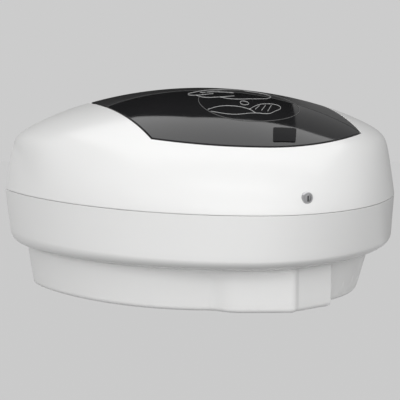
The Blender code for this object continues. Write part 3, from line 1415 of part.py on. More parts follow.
def battery_door():
    left, right, hinge, front = door_edges()
    high = DOOR_LIFT + DOOR_THICKNESS
    made = box("battery_door", (left, hinge - DOOR_EDGE, DOOR_LIFT), (right, front, high), WHITE)
    middle = DOOR_LIFT + DOOR_THICKNESS / 2
    pin = rod("door_pin", DOOR_PIN_RADIUS - GAP / 2, (left - DOOR_PIN_LENGTH, hinge, middle), (right + DOOR_PIN_LENGTH, hinge, middle),
              None, FINE_SEGMENTS)
    join(made, pin)
    return made


# Power switch


def switch_slider():
    x = SWITCH_X - SWITCH_TRAVEL / 2
    low = POD_FLOOR + 2 * GAP
    made = box("switch_slider", (x - SWITCH_KNOB / 2, SWITCH_DEPTH - SWITCH_KNOB_WIDTH / 2, NOZZLE_TIP),
               (x + SWITCH_KNOB / 2, SWITCH_DEPTH + SWITCH_KNOB_WIDTH / 2, low + BITE), BLACK)
    join(made, box("slider_flange", (x - SWITCH_FLANGE / 2, SWITCH_DEPTH - SWITCH_FLANGE_WIDTH / 2, low),
                   (x + SWITCH_FLANGE / 2, SWITCH_DEPTH + SWITCH_FLANGE_WIDTH / 2, low + 2 * BITE)))
    return made


def power_switch():
    low = POD_FLOOR + GAP
    made = box("power_switch", (SWITCH_X - SWITCH_BODY_LENGTH / 2, SWITCH_DEPTH - SWITCH_BODY_WIDTH / 2, low),
               (SWITCH_X + SWITCH_BODY_LENGTH / 2, SWITCH_DEPTH + SWITCH_BODY_WIDTH / 2, low + SWITCH_BODY_HEIGHT), BLACK)
    reach = (SWITCH_FLANGE + SWITCH_TRAVEL) / 2 + GAP
    cut(made, box("slider_room", (SWITCH_X - reach, SWITCH_DEPTH - SWITCH_FLANGE_WIDTH / 2 - GAP, low - OVERRUN),
                  (SWITCH_X + reach, SWITCH_DEPTH + SWITCH_FLANGE_WIDTH / 2 + GAP, low + 3 * BITE + GAP)))
    return made


# Screws


def screw(name, x, depth, seat, length):
    """A pan-head screw standing in its hole, with its head on the seat."""
    head = seat + GAP
    profile = [
        (0.0, head + SCREW_HEAD), (SCREW_HEAD_RADIUS * 0.7, head + SCREW_HEAD), (SCREW_HEAD_RADIUS, head + SCREW_HEAD / 3),
        (SCREW_HEAD_RADIUS, head), (SCREW_RADIUS, head), (SCREW_RADIUS, seat - length), (0.0, seat - length),
    ]
    return turned(name, profile, (x, depth, 0.0), STEEL, FINE_SEGMENTS)


def screws():
    for number, (x, depth) in enumerate(pod_screw_places(), 1):
        screw(f"pod_screw_{number}", x, depth, SHELL_BOTTOM + FLOOR_THICKNESS, FLOOR_THICKNESS + POD_BOSS_DROP * 0.8)
    seat = POD_FLOOR + GAP + FOOT_THICKNESS
    for number, side in enumerate((-1, 1), 1):
        screw(f"pump_screw_{number}", PUMP_X + side * FOOT_SCREW, foot_screw_depth(), seat, FOOT_THICKNESS + POD_FLOOR / 2)


# Build, with each moving piece's origin on its own joint's axis
for make in (lid_shell, smoked_window, rear_trim, indicator_window):
    pivot(make(), (0.0, HINGE_DEPTH, HINGE_HEIGHT))
hinge_pin()
for make in (lock_barrel, lock_cam):
    pivot(make(), lock_point(0.0, 0.0, LOCK_HEIGHT))
lock_keeper()
lower_housing()
base_pod()
wall_bracket()
reservoir()
filler_cap()
filler_seal()
pump_housing()
pump_cover()
gearbox()
pump_motor()
pivot(pump_rotor(), (PUMP_X, PUMP_DEPTH, PUMP_HEIGHT))
rollers()
pump_tube()
nozzle()
sensor_window()
sensor_board()
infrared_lamps()
circuit_board()
battery_box()
batteries()
battery_contacts()
pivot(battery_door(), (0.0, door_edges()[2], DOOR_LIFT + DOOR_THICKNESS / 2))
pivot(switch_slider(), (SWITCH_X - SWITCH_TRAVEL / 2, SWITCH_DEPTH, DOOR_LIFT))
power_switch()
screws()
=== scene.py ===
# %% [markdown]
# # An automatic soap dispenser in two white shells
# The real object hangs on a bathroom wall. A domed lid with a smoked leaf-shaped window closes
# over a lower shell, and both sit on a smaller base with the pump inside. This lesson loads the
# packed mechanical model, dresses each piece that shows, and lights it like a product photograph.

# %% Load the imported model
from collections import namedtuple
from math import acos, asin, cos, pi, radians, sin, tan

import bmesh
import bpy
from mathutils import Matrix, Vector


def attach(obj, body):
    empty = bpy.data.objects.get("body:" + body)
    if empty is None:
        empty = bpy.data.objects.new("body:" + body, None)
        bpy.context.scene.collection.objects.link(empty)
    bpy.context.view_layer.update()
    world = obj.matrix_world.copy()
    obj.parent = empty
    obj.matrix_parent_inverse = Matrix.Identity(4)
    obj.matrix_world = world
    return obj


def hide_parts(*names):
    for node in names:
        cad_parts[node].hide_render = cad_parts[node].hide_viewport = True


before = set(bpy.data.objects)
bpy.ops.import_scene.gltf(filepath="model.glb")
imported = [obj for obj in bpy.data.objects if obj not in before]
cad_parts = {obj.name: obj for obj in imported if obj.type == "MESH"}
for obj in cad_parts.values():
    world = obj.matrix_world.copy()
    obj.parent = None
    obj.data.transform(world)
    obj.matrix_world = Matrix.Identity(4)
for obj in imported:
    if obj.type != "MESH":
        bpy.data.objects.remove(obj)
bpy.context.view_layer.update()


# %% [markdown]
# ## Sizes
# The shells are lofts through level plans. A plan is blunt on the right, drawn out on the left and
# straight along the wall. Lengths are in metres and depths count forwards from the wall, as in the
# mechanical model, so every new piece lands where its node is. The crown's spreads, the wall's
# plan and the lower round are the lesson's own, a little fuller than those of the model.

# %% Sizes of the shells
Plan = namedtuple("Plan", "peak left right depth left_power right_power")
HALF_WIDTH = 0.137
DEPTH = 0.130
REAR = DEPTH / 2
SHELL_BOTTOM = 0.0308
SEAM_HEIGHT = 0.0688
CREST_HEIGHT = 0.1406
CROWN_RISE = CREST_HEIGHT - SEAM_HEIGHT
SEAM_PEAK = 0.038
SEAM_PLAN = Plan(SEAM_PEAK, HALF_WIDTH + SEAM_PEAK, HALF_WIDTH - SEAM_PEAK, DEPTH, 0.83, 0.53)
BOTTOM_PLAN = Plan(0.025, 0.1515, 0.0985, 0.1015, 0.73, 0.69)
WALL_PLAN = Plan(0.032, 0.1650, 0.1035, 0.1235, 0.79, 0.58)
SIDE_LEAN = 0.078
LEFT_SPREAD = 1.175
RIGHT_SPREAD = 1.217
CROWN_POWER = 0.6
CORNER_SHARPNESS = 36.0
SKIRT_ROUND = 0.0095
LID_REAR = 0.0035


def spot(x, depth, height):
    """A point from its distance in front of the wall."""
    return Vector((x, REAR - depth, height))


CORE = spot(0.0, 0.0, SEAM_HEIGHT)
print("the seam's middle at the wall", tuple(CORE))

# %% [markdown]
# ## One curve for every level
# `plan_place` runs along a plan's front line as u goes from 0 at the left rear corner to 1 at the
# right rear corner. `crown_place` stacks shrinking plans up to the crest. `skirt_place` stacks them
# down the lower shell's straight taper and round its deep lower edge. Surfaces written this way can
# be cut as finely as wanted.

# %% The shells as surfaces
LEAST_SPREAD = 1e-6
HALVINGS = 44
PROBE = 1e-4


def plan_place(plan, u):
    """How far across and how far forwards a plan's front line is at u."""
    turn = pi * min(u, 1 - u)
    side, power = (-plan.left, plan.left_power) if u < 0.5 else (plan.right, plan.right_power)
    return plan.peak + side * cos(turn), plan.depth * sin(turn) ** (2 * power)


def level_shape(reach):
    """How high the crown stands at a level, and how far its left and right halves are narrowed."""
    rise = CROWN_RISE * max(1 - reach ** 2, 0.0) ** CROWN_POWER
    lean = 1 - SIDE_LEAN * rise / CROWN_RISE
    widths = []
    for share in (LEFT_SPREAD, RIGHT_SPREAD):
        spread = max(share * reach, LEAST_SPREAD)
        both = lean ** -CORNER_SHARPNESS + spread ** -CORNER_SHARPNESS
        widths.append(both ** (-1 / CORNER_SHARPNESS))
    return rise, *widths


def crown_place(u, v):
    """The lid: v runs from 0 at the seam to 1 at the crest, which is at the wall."""
    reach = cos(pi / 2 * v)
    rise, left, right = level_shape(reach)
    x, depth = plan_place(SEAM_PLAN, u)
    across = (x - SEAM_PLAN.peak) * (left if u < 0.5 else right)
    return spot(SEAM_PLAN.peak * left + across, depth * reach, SEAM_HEIGHT + rise)


def find_on_crown(x, depth):
    """The u and v of the crown's point over a place in plan."""
    low, high = 0.0, 1.0
    for _ in range(HALVINGS):
        reach = (low + high) / 2
        left, right = level_shape(reach)[1:]
        across = x - SEAM_PLAN.peak * left
        half, power = SEAM_PLAN.left * left, SEAM_PLAN.left_power
        if across > 0:
            half, power = SEAM_PLAN.right * right, SEAM_PLAN.right_power
        edge = DEPTH * reach * max(1 - (across / half) ** 2, 0.0) ** power
        low, high = (reach, high) if edge < depth else (low, reach)
    turn = acos(min(abs(across) / half, 1.0)) / pi
    return (turn if across < 0 else 1 - turn), 2 / pi * acos(min(high, 1.0))


def above_crown(x, depth, rise):
    """The point that stands a little above the crown over a place in plan."""
    u, v = find_on_crown(x, depth)
    along = crown_place(u, v + PROBE) - crown_place(u, v - PROBE)
    across = crown_place(u + PROBE, v) - crown_place(u - PROBE, v)
    normal = along.cross(across).normalized()
    return crown_place(u, v) + normal * (rise if normal.z > 0 else -rise)


def between(first, last, share):
    """A plan some share of the way from one plan to another."""
    return Plan(*(a + (b - a) * share for a, b in zip(first, last)))


def skirt_place(u, w):
    """The lower shell: w runs from 0 at the seam to 1 under the deep round of the lower edge."""
    height = SEAM_HEIGHT - SHELL_BOTTOM
    straight_share = 1 - SKIRT_ROUND / height
    turn = pi / 2 * max(2 * w - 1, 0.0)
    share = straight_share * min(2 * w, 1.0) + (1 - straight_share) * sin(turn)
    plan = between(between(SEAM_PLAN, WALL_PLAN, share), BOTTOM_PLAN, 1 - cos(turn))
    x, depth = plan_place(plan, u)
    return spot(x, depth, SEAM_HEIGHT - height * share)


print("height near the crest", round(crown_place(0.5, 0.98).z, 4))

# %% [markdown]
# ## Cutting a patch out of a surface
# Each shell is one moulding with openings. Its outline is drawn flat in u and v as a single face,
# that face is cut into a fine grid with `bisect_plane`, and every corner is then lifted onto the
# curved surface. The openings stay crisp and the grid is fine enough to reflect a lamp cleanly.

# %% Cut a patch and lift it
NORMAL_STEP = 2e-4
MARGIN = 1e-5
CUT_MERGE = 1e-7


def grid_cuts(first, last, count):
    return [first + (last - first) * step / count for step in range(1, count)]


def flat_patch(outline, across, along):
    """One flat face in u and v, cut into cells."""
    bm = bmesh.new()
    bm.faces.new([bm.verts.new((u, v, 0.0)) for u, v in outline])
    for lines, normal in ((across, Vector((1, 0, 0))), (along, Vector((0, 1, 0)))):
        for line in lines:
            bmesh.ops.bisect_plane(
                bm, geom=bm.verts[:] + bm.edges[:] + bm.faces[:], dist=CUT_MERGE,
                plane_co=normal * line, plane_no=normal,
            )
    return bm


def surface_normal(place, u, v):
    """The direction across a surface, from four places close to a point of it."""
    low_u, high_u = max(u - NORMAL_STEP, MARGIN), min(u + NORMAL_STEP, 1 - MARGIN)
    low_v, high_v = max(v - NORMAL_STEP, 0.0), min(v + NORMAL_STEP, 1 - MARGIN)
    normal = (place(high_u, v) - place(low_u, v)).cross(place(u, high_v) - place(u, low_v))
    return normal.normalized()


def lift(bm, place):
    """Moves a flat patch onto its surface and keeps each corner's true normal."""
    truth = bm.verts.layers.float_vector.new("truth")
    for vert in bm.verts:
        u, v = vert.co.x, vert.co.y
        normal = surface_normal(place, u, v)
        vert.co = place(u, v)
        vert[truth] = normal if normal.dot(vert.co - CORE) > 0 else -normal
    bm.normal_update()
    middle = max(bm.faces, key=lambda face: face.calc_area())
    if middle.normal.dot(middle.verts[0][truth]) < 0:
        bmesh.ops.reverse_faces(bm, faces=bm.faces[:])
    return truth


# %% [markdown]
# ## Edges with a rounded lip
# A moulded edge is never sharp. The rim of a patch is extruded in small steps round a quarter
# circle and then down the wall, and the patch itself is copied inwards as the inner face.

# %% Give a patch its rim and inner face
RIM_MERGE = 2e-6


def rim_sides(bm, truth):
    """For each corner of the rim, the direction that points out of the patch."""
    sides = {}
    for edge in [e for e in bm.edges if e.is_boundary]:
        along = (edge.verts[1].co - edge.verts[0].co).normalized()
        inwards = edge.link_faces[0].calc_center_median() - edge.verts[0].co
        for vert in edge.verts:
            side = along.cross(vert[truth])
            sides[vert] = sides.get(vert, Vector()) + (side if side.dot(inwards) < 0 else -side)
    return {vert: side.normalized() for vert, side in sides.items()}


def quarter(radius, steps=4):
    """Steps out and down round a quarter circle."""
    turns = [pi / 2 * step / steps for step in range(1, steps + 1)]
    return [(radius * sin(turn), radius * (1 - cos(turn))) for turn in turns]


def only(items, kind):
    """Those of an operator's results that are of one kind."""
    return [item for item in items if isinstance(item, kind)]


def next_row(bm, row, known):
    """Extrudes a row of edges. Each new corner takes over what is known of its old one."""
    made = bmesh.ops.extrude_edge_only(bm, edges=row)["geom"]
    fresh = {}
    for vert in only(made, bmesh.types.BMVert):
        others = [edge.other_vert(vert) for edge in vert.link_edges]
        fresh[vert] = next(known[other] for other in others if other in known)
    edges = only(made, bmesh.types.BMEdge)
    return fresh, [edge for edge in edges if all(vert in fresh for vert in edge.verts)]


def thicken(bm, truth, profile, wall):
    """Runs the rim through the profile's steps out and down, then closes it with an inner face."""
    frames = {
        vert: (vert.co.copy(), vert[truth].copy(), side)
        for vert, side in rim_sides(bm, truth).items()
    }
    rim = [edge for edge in bm.edges if edge.is_boundary]
    doubled = bmesh.ops.duplicate(bm, geom=bm.verts[:] + bm.edges[:] + bm.faces[:])["geom"]
    inner = only(doubled, bmesh.types.BMVert)
    for vert in inner:
        vert.co -= vert[truth] * wall
        vert[truth] = -vert[truth]
    bmesh.ops.reverse_faces(bm, faces=only(doubled, bmesh.types.BMFace))
    for out, down in [*profile, (0.0, wall)]:
        frames, rim = next_row(bm, rim, frames)
        for vert, (co, normal, side) in frames.items():
            vert.co = co + side * out - normal * down
            vert[truth] = (0.0, 0.0, 0.0)
    bmesh.ops.remove_doubles(bm, verts=list(frames) + inner, dist=RIM_MERGE)


print("patch tools ready")

# %% [markdown]
# ## Shader sums in plain Python
# A small class wraps a socket, so that a mask can be written as a sum. Any other node comes from
# one method that takes its type, its settings and the values of its sockets.

# %% A socket that can be added and multiplied
class Knot:
    """An output socket of a shader's tree, with the sums that it can take part in."""

    def __init__(self, tree, socket):
        self.tree = tree
        self.socket = socket

    def node(self, kind, settings=None, **inputs):
        """Adds a node. Its sockets go by their names, or by their numbers as n0, n1 and so on."""
        made = self.tree.nodes.new(kind)
        for key, value in (settings or {}).items():
            setattr(made, key, value)
        for key, value in inputs.items():
            name = int(key[1:]) if key[0] == "n" and key[1:].isdigit() else key.replace("_", " ")
            if isinstance(value, Knot):
                self.tree.links.new(value.socket, made.inputs[name])
            else:
                made.inputs[name].default_value = value
        return made

    def sum(self, operation, first, second):
        made = self.node("ShaderNodeMath", {"operation": operation}, n0=first, n1=second)
        return Knot(self.tree, made.outputs[0])

    def __add__(self, other):
        return self.sum("ADD", self, other)

    __radd__ = __add__

    def __mul__(self, other):
        return self.sum("MULTIPLY", self, other)

    __rmul__ = __mul__

    def __sub__(self, other):
        return self.sum("SUBTRACT", self, other)

    def __rsub__(self, other):
        return self.sum("SUBTRACT", other, self)

    def out(self, made, name=0):
        return Knot(self.tree, made.outputs[name])


MIX_FIRST, MIX_SECOND, MIX_RESULT = 6, 7, 2


def new_material(name, **fixed):
    """A material with its shader's steady values set, its shader and its object coordinates."""
    made = bpy.data.materials.new(name)
    made.use_nodes = True
    tree = made.node_tree
    shader = tree.nodes["Principled BSDF"]
    for key, value in fixed.items():
        shader.inputs[key.replace("_", " ")].default_value = value
    place = tree.nodes.new("ShaderNodeTexCoord")
    return made, shader, Knot(tree, place.outputs["Object"])


def noise(place, scale, detail=3.0):
    made = place.node("ShaderNodeTexNoise", None, Vector=place, Scale=scale, Detail=detail)
    return place.out(made, "Fac")


def feed(shader, name, knot):
    knot.tree.links.new(knot.socket, shader.inputs[name])


def grey(tone):
    return (tone, tone, tone)


def tinted(mask, dark, light):
    """A colour that runs from a dark tone to a light one as the mask goes from 0 to 1."""
    made = mask.node("ShaderNodeMix", {"data_type": "RGBA"}, n0=mask)
    made.inputs[MIX_FIRST].default_value = (*dark, 1.0)
    made.inputs[MIX_SECOND].default_value = (*light, 1.0)
    return mask.out(made, MIX_RESULT)


def relief(shader, height, strength, distance):
    """Lets a height tilt the shader's normal."""
    made = height.node("ShaderNodeBump", None, Height=height, Strength=strength, Distance=distance)
    feed(shader, "Normal", height.out(made, "Normal"))


print("shader sums ready")

# %% [markdown]
# ## The finishes
# The shells are glossy white plastic with a slight unevenness from the mould. The window is
# smoked plastic, almost black, and the small parts inside have the plain finishes of their kind.
# One function makes every plastic, so that they differ in tone, gloss, grain and clearness alone.

# %% Make the finishes
finishes = {}
GLOSS_SPREAD = 0.06
GLOSS_CLOUDS = 3
GRAIN_DETAIL = 2.0
GRAIN_STRENGTH = 0.25
STEEL_STRETCH = (1.0, 1.0, 14.0)


def moulded(name, dark, light, rough, grain=900.0, height=0.00002, cloud=18.0, **fixed):
    """Adds a moulded plastic: slow clouds in its colour and gloss, and a fine grain."""
    made, shader, place = new_material(name, **fixed)
    feed(shader, "Base Color", tinted(noise(place, cloud), dark, light))
    clouds = noise(place, cloud * GLOSS_CLOUDS)
    feed(shader, "Roughness", rough + GLOSS_SPREAD * (clouds - 0.5))
    relief(shader, noise(place, grain, GRAIN_DETAIL), GRAIN_STRENGTH, height)
    finishes[name] = made


def brushed_steel():
    """Adds a turned metal with fine level streaks in its colour and gloss."""
    made, shader, place = new_material("steel", Metallic=1.0)
    drawn = place.node("ShaderNodeMapping", None, Vector=place, Scale=STEEL_STRETCH)
    streaks = noise(place.out(drawn), scale=420.0, detail=4.0)
    feed(shader, "Base Color", tinted(streaks, (0.42, 0.42, 0.43), (0.62, 0.62, 0.63)))
    feed(shader, "Roughness", 0.22 + 0.2 * streaks)
    finishes["steel"] = made


moulded("white_gloss_plastic", (0.80, 0.80, 0.795), (0.83, 0.83, 0.825), 0.22,
        grain=220.0, height=0.00003)
moulded("smoked_plastic", (0.014, 0.014, 0.015), (0.018, 0.018, 0.019), 0.07,
        grain=120.0, height=0.000004, Alpha=0.97)
# Black plastic is the window's dark strip, and also the painted shade inside the lock's keyway.
moulded("black_plastic", (0.018, 0.018, 0.019), (0.026, 0.026, 0.027), 0.35)
moulded("grey_plastic", (0.20, 0.205, 0.21), (0.26, 0.265, 0.27), 0.42, grain=1400.0)
moulded("translucent_plastic", (0.62, 0.63, 0.62), (0.70, 0.71, 0.70), 0.28,
        Alpha=0.82, Subsurface_Weight=0.15)
moulded("silicone_rubber", (0.55, 0.55, 0.53), (0.63, 0.63, 0.61), 0.48)
moulded("circuit_board_green", (0.010, 0.085, 0.035), (0.014, 0.12, 0.05), 0.34, cloud=60.0)
moulded("battery_wrap", (0.02, 0.02, 0.022), (0.035, 0.035, 0.038), 0.24)
brushed_steel()
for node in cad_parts.values():
    for holder in node.material_slots:
        kind = holder.material.name.split(".")[0] if holder.material else ""
        if kind in finishes:
            holder.material = finishes[kind]
        else:
            print("no finish for", node.name, kind)
print("finishes", len(finishes))

# %% [markdown]
# ## Finishing a piece
# A finished piece sits at the origin and takes its place from its mesh. The true surface normals
# are handed to the mesh, so the gloss runs smoothly over the grid. The mechanical node under a
# shell holds ledges, hinge barrels and bosses, so a copy of it goes inside the new skin. The copy
# is drawn in a little, by up to about two millimetres, so that it stays behind the skin.

# %% Turn patches into pieces
MERGE = 1e-6


def soften(bm, degrees):
    """Shades smooth the edges that turn by less than a limit, and leaves the others sharp."""
    for edge in bm.edges:
        edge.smooth = edge.is_manifold and edge.calc_face_angle(0) < radians(degrees)


def copy_of(node, middle, shrink):
    """The merged mesh of a node, drawn in towards a point."""
    bm = bmesh.new()
    bm.from_mesh(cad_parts[node].data)
    bmesh.ops.remove_doubles(bm, verts=bm.verts[:], dist=MERGE)
    bmesh.ops.scale(bm, verts=bm.verts[:], vec=shrink, space=Matrix.Translation(-middle))
    soften(bm, degrees=28)
    return bm


def piece(name, parts, body, finish, stands_for=()):
    """One object from one or more bmeshes, riding on its body."""
    mesh = bpy.data.meshes.new(name)
    whole = bmesh.new()
    whole.verts.layers.float_vector.new("truth")
    for bm in parts:
        part_mesh = bpy.data.meshes.new("part")
        bm.to_mesh(part_mesh)
        whole.from_mesh(part_mesh)
        bpy.data.meshes.remove(part_mesh)
        bm.free()
    for face in whole.faces:
        face.smooth = True
    whole.to_mesh(mesh)
    whole.free()
    truths = [tuple(item.vector) for item in mesh.attributes["truth"].data]
    mesh.attributes.remove(mesh.attributes["truth"])
    mesh.normals_split_custom_set_from_vertices(truths)
    made = bpy.data.objects.new(name, mesh)
    bpy.context.scene.collection.objects.link(made)
    mesh.materials.append(finishes[finish])
    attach(made, body)
    if stands_for:
        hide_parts(*stands_for)
    print(name, len(mesh.polygons), "faces")


# %% [markdown]
# ## Lines drawn in plan
# Openings and insets are drawn as closed outlines in plan, seen from above. A few helpers run a
# straight or a bent line, move an outline sideways and round its corners, so that a gap or a lip
# always follows the edge that it belongs to.

# %% Helpers for outlines
MITRE_LIMIT = 0.35
LOOP_SHARE = 0.97
LEAST_SQUARE = 1e-12


def blend(first, second, share):
    return tuple(a + (b - a) * share for a, b in zip(first, second))


def straight(first, second, steps):
    """A straight line without its last point."""
    return [blend(first, second, i / steps) for i in range(steps)]


def sagging(first, middle, last, steps=70):
    """A line bent towards its middle point, without its last point."""
    shares = [i / steps for i in range(steps)]
    return [blend(blend(first, middle, t), blend(middle, last, t), t) for t in shares]


def offset(points, distance):
    """A closed outline moved sideways, inwards when it runs clockwise and the distance is positive."""
    moved = []
    for i, point in enumerate(points):
        before, after = Vector(points[i - 1]), Vector(points[(i + 1) % len(points)])
        here = Vector(point)
        first, second = (here - before).normalized(), (after - here).normalized()
        side = Vector((first.y + second.y, -first.x - second.x)).normalized()
        reach = max(side.dot(Vector((first.y, -first.x))), MITRE_LIMIT)
        moved.append(tuple(here + side * distance / reach))
    return moved


def nearest(point, outline):
    """How far a point is from a closed outline."""
    gaps = []
    for first, second in zip(outline, outline[1:] + outline[:1]):
        along, here = Vector(second) - Vector(first), Vector(point) - Vector(first)
        share = min(max(here.dot(along) / max(along.length_squared, LEAST_SQUARE), 0.0), 1.0)
        gaps.append((here - along * share).length)
    return min(gaps)


def inset(points, distance):
    """A closed outline moved sideways without the loops that a sharp corner would leave."""
    moved = offset(points, distance)
    return [place for place in moved if nearest(place, points) > abs(distance) * LOOP_SHARE]


def corner(before, here, after, radius, share, steps):
    """A rounded corner that takes up no more than a share of the sides on its two hands."""
    reach = radius * tan((here - before).angle(after - here) / 2)
    start = here + (before - here).normalized() * min(reach, (before - here).length * share)
    end = here + (after - here).normalized() * min(reach, (after - here).length * share)
    return sagging(tuple(start), tuple(here), tuple(end), steps) + [tuple(end)]


def rounded(points, radius, sharp=0.25):
    """Rounds the corners of a closed outline that turn by more than the sharp angle in radians."""
    made = []
    for i, point in enumerate(points):
        before, after = Vector(points[i - 1]), Vector(points[(i + 1) % len(points)])
        here = Vector(point)
        if (here - before).angle(after - here) < sharp:
            made.append(point)
        else:
            made += corner(before, here, after, radius, share=0.98, steps=5)
    return made


# %% [markdown]
# ## The window's outline
# Seen from above the window is half a leaf: its near edge follows the front, its left edge is
# straight, and a slightly sagging line parts it from the dark strip along the wall side.

# %% Draw the window's edges in plan
LEAF_LEFT = 0.147
LEAF_RIGHT = 0.082
LEAF_DEPTH = 0.1035
LEAF_LEFT_POWER = 1.66
LEAF_RIGHT_POWER = 1.06
LEAF_CORNER = -0.030
LEAF_TIP = 0.108
LEAF_REAR_LEFT = -0.079
LEAF_REAR_RIGHT = 0.089
LEAF_STEPS = 70
TRIM_SHARE = 0.33
TRIM_BEND = (0.0, 0.004)


def leaf_front():
    """The window's front edge, from its left corner to its tip on the right."""
    peak = SEAM_PLAN.peak
    first, last = acos((peak - LEAF_CORNER) / LEAF_LEFT), acos((LEAF_TIP - peak) / LEAF_RIGHT)
    turns = [first + (pi / 2 - first) * i / LEAF_STEPS for i in range(LEAF_STEPS)]
    left = [(peak - LEAF_LEFT * cos(t), LEAF_DEPTH * sin(t) ** LEAF_LEFT_POWER) for t in turns]
    turns = [pi / 2 + (last - pi / 2) * i / LEAF_STEPS for i in range(LEAF_STEPS + 1)]
    return left + [(peak + LEAF_RIGHT * cos(t), LEAF_DEPTH * sin(t) ** LEAF_RIGHT_POWER) for t in turns]


front_edge = leaf_front()
tip = front_edge[-1]
rear_corner = (LEAF_REAR_LEFT, 0.0)
trim_start = blend(rear_corner, front_edge[0], TRIM_SHARE)
trim_line = sagging(trim_start, TRIM_BEND, tip)
print("window from", front_edge[0], "to", tip)

# %% [markdown]
# ## The lid
# The lid is one white moulding with an opening for the window and its dark strip. Its patch runs
# from the seam up both ends and round the opening. The mechanical lid, with its ledge, hinge
# barrels and lock boss, stays inside the skin.

# %% Draw the lid's outline
EDGE = 0.0003
SEAM_GAP = 0.00065
OPENING_REAR = -0.004
OPENING_ROUND = 0.0016


def rear_u(v, side):
    """Where the level v comes back to the lid's rear line, at its left (0) or right (1) end."""
    power = SEAM_PLAN.right_power if side else SEAM_PLAN.left_power
    turn = asin(min((LID_REAR / (DEPTH * cos(pi / 2 * v))) ** (0.5 / power), 1.0)) / pi
    return 1 - turn if side else turn


def rear_line(side, first, last, steps=40):
    levels = [first + (last - first) * i / steps for i in range(steps)]
    return [(rear_u(v, side), v) for v in levels]


def crown_outline(points):
    return [find_on_crown(x, depth) for x, depth in points]


def opening():
    """The closed outline of the lid's opening in plan, wider by the lid's rounded lip."""
    closed = front_edge + straight(tip, (LEAF_REAR_RIGHT, 0.0), 40)[1:]
    closed += [(LEAF_REAR_RIGHT, 0.0), (LEAF_REAR_RIGHT, OPENING_REAR), (LEAF_REAR_LEFT, OPENING_REAR)]
    closed += straight(rear_corner, front_edge[0], 40)
    return rounded(inset(closed, -EDGE), OPENING_ROUND)


seam_level = 2 / pi * acos((1 - (SEAM_GAP / CROWN_RISE) ** (1 / CROWN_POWER)) ** 0.5)
in_front = [place for place in opening() if place[1] > LID_REAR]
left_end = next(i for i, place in enumerate(in_front) if in_front[i - 1][0] > 0 > place[0])
rim_of_opening = crown_outline(in_front[left_end:] + in_front[:left_end])
left_top, right_top = rim_of_opening[0][1], rim_of_opening[-1][1]
lid_outline = (
    [(rear_u(seam_level, 0), seam_level), (rear_u(seam_level, 1), seam_level)]
    + rear_line(1, seam_level, right_top)[1:]
    + rim_of_opening[::-1]
    + rear_line(0, left_top, seam_level)[1:]
)
print("lid outline", len(lid_outline), "corners")

# %% Make the lid
LID_SKIN = 0.0016
LID_SHRINK = (0.9975, 0.9975, 0.996)
ACROSS = grid_cuts(0.0, 1.0, 150)
ALONG = grid_cuts(0.0, 1.0, 76)


def skin_of(outline, place, profile, wall, along=ALONG):
    """A patch of a surface with its lip and its inner face."""
    bm = flat_patch(outline, ACROSS, along)
    truth = lift(bm, place)
    thicken(bm, truth, profile, wall)
    return bm


lid_parts = [
    skin_of(lid_outline, crown_place, quarter(EDGE), LID_SKIN),
    copy_of("lid_shell", CORE, LID_SHRINK),
]
piece("lid", lid_parts, "lid", "white_gloss_plastic", ["lid_shell"])

# %% [markdown]
# ## The smoked window and the strip behind it
# Both are dark inserts that lie flush in the lid with a fine black line round them. The line is a
# shadow gap, and a thin flange under it keeps the white lid from showing through.

# %% Make the window and the dark strip
GAP = 0.0008
INSERT_WALL = 0.0020
INSERT_ROUND = 0.0014
FLANGE = [(EDGE, 0.0008), (0.0010, 0.0009), (0.0010, 0.0016)]
STRIP_LEFT = (LEAF_REAR_LEFT + 0.0025, LID_REAR)
STRIP_RIGHT = (LEAF_REAR_RIGHT, LID_REAR)


def insert(name, outline, node, finish):
    """A dark insert in the lid's opening, set in by the gap round it."""
    line = crown_outline(rounded(inset(outline, GAP + EDGE), INSERT_ROUND))
    skin = skin_of(line, crown_place, quarter(EDGE) + FLANGE, INSERT_WALL)
    piece(name, [skin], "lid", finish, [node])


window_outline = front_edge + trim_line[::-1] + straight(trim_start, front_edge[0], 30)[1:]
strip_outline = (
    straight(STRIP_LEFT, trim_start, 20)
    + trim_line + [tip]
    + straight(tip, STRIP_RIGHT, 30)[1:]
    + straight(STRIP_RIGHT, STRIP_LEFT, 80)
)
insert("window", window_outline, "smoked_window", "smoked_plastic")
insert("window_strip", strip_outline, "rear_trim", "black_plastic")

# %% [markdown]
# ## The small tile in the window
# A dark rounded tile sits near the window's front edge. It is a smaller, smoother face on a dull black
# plate. The plate's rim, left in view all round, is painted shade: its near-black tone, with no
# reflection, stands in for the shadow in the gap round the tile. Both are bent to the window's
# curve, so each is cut out of the same surface as the window and stands a fraction of a millimetre
# above it.

# %% Make the tile
TILE_CORNERS = [(0.0485, 0.0866), (0.0478, 0.0972), (0.0596, 0.0948), (0.0608, 0.0838)]
TILE_RISE = 0.0005
TILE_FACE_RISE = TILE_RISE + 0.0001
TILE_SHADE_RIM = 0.0011
TILE_EDGE = 0.00015
TILE_ROUND = 0.0010
TILE_SUNK = 0.0004
TILE_SHARP = 0.6


def tile_outline(distance):
    """The tile's outline in u and v, set in by a distance."""
    sides = [straight(a, b, 12) for a, b in zip(TILE_CORNERS, TILE_CORNERS[1:] + TILE_CORNERS[:1])]
    closed = [point for side in sides for point in side][::-1]
    closed = inset(closed, distance) if distance else closed
    return crown_outline(rounded(closed, TILE_ROUND, TILE_SHARP))


def raised(rise):
    """The crown's surface, lifted along its own normals."""
    def place(u, v):
        return crown_place(u, v) + surface_normal(crown_place, u, v) * rise
    return place


def tile_layer(name, distance, rise, finish, stands_for=()):
    skin = skin_of(tile_outline(distance), raised(rise), quarter(TILE_EDGE, 3), rise + TILE_SUNK)
    piece(name, [skin], "lid", finish, stands_for)


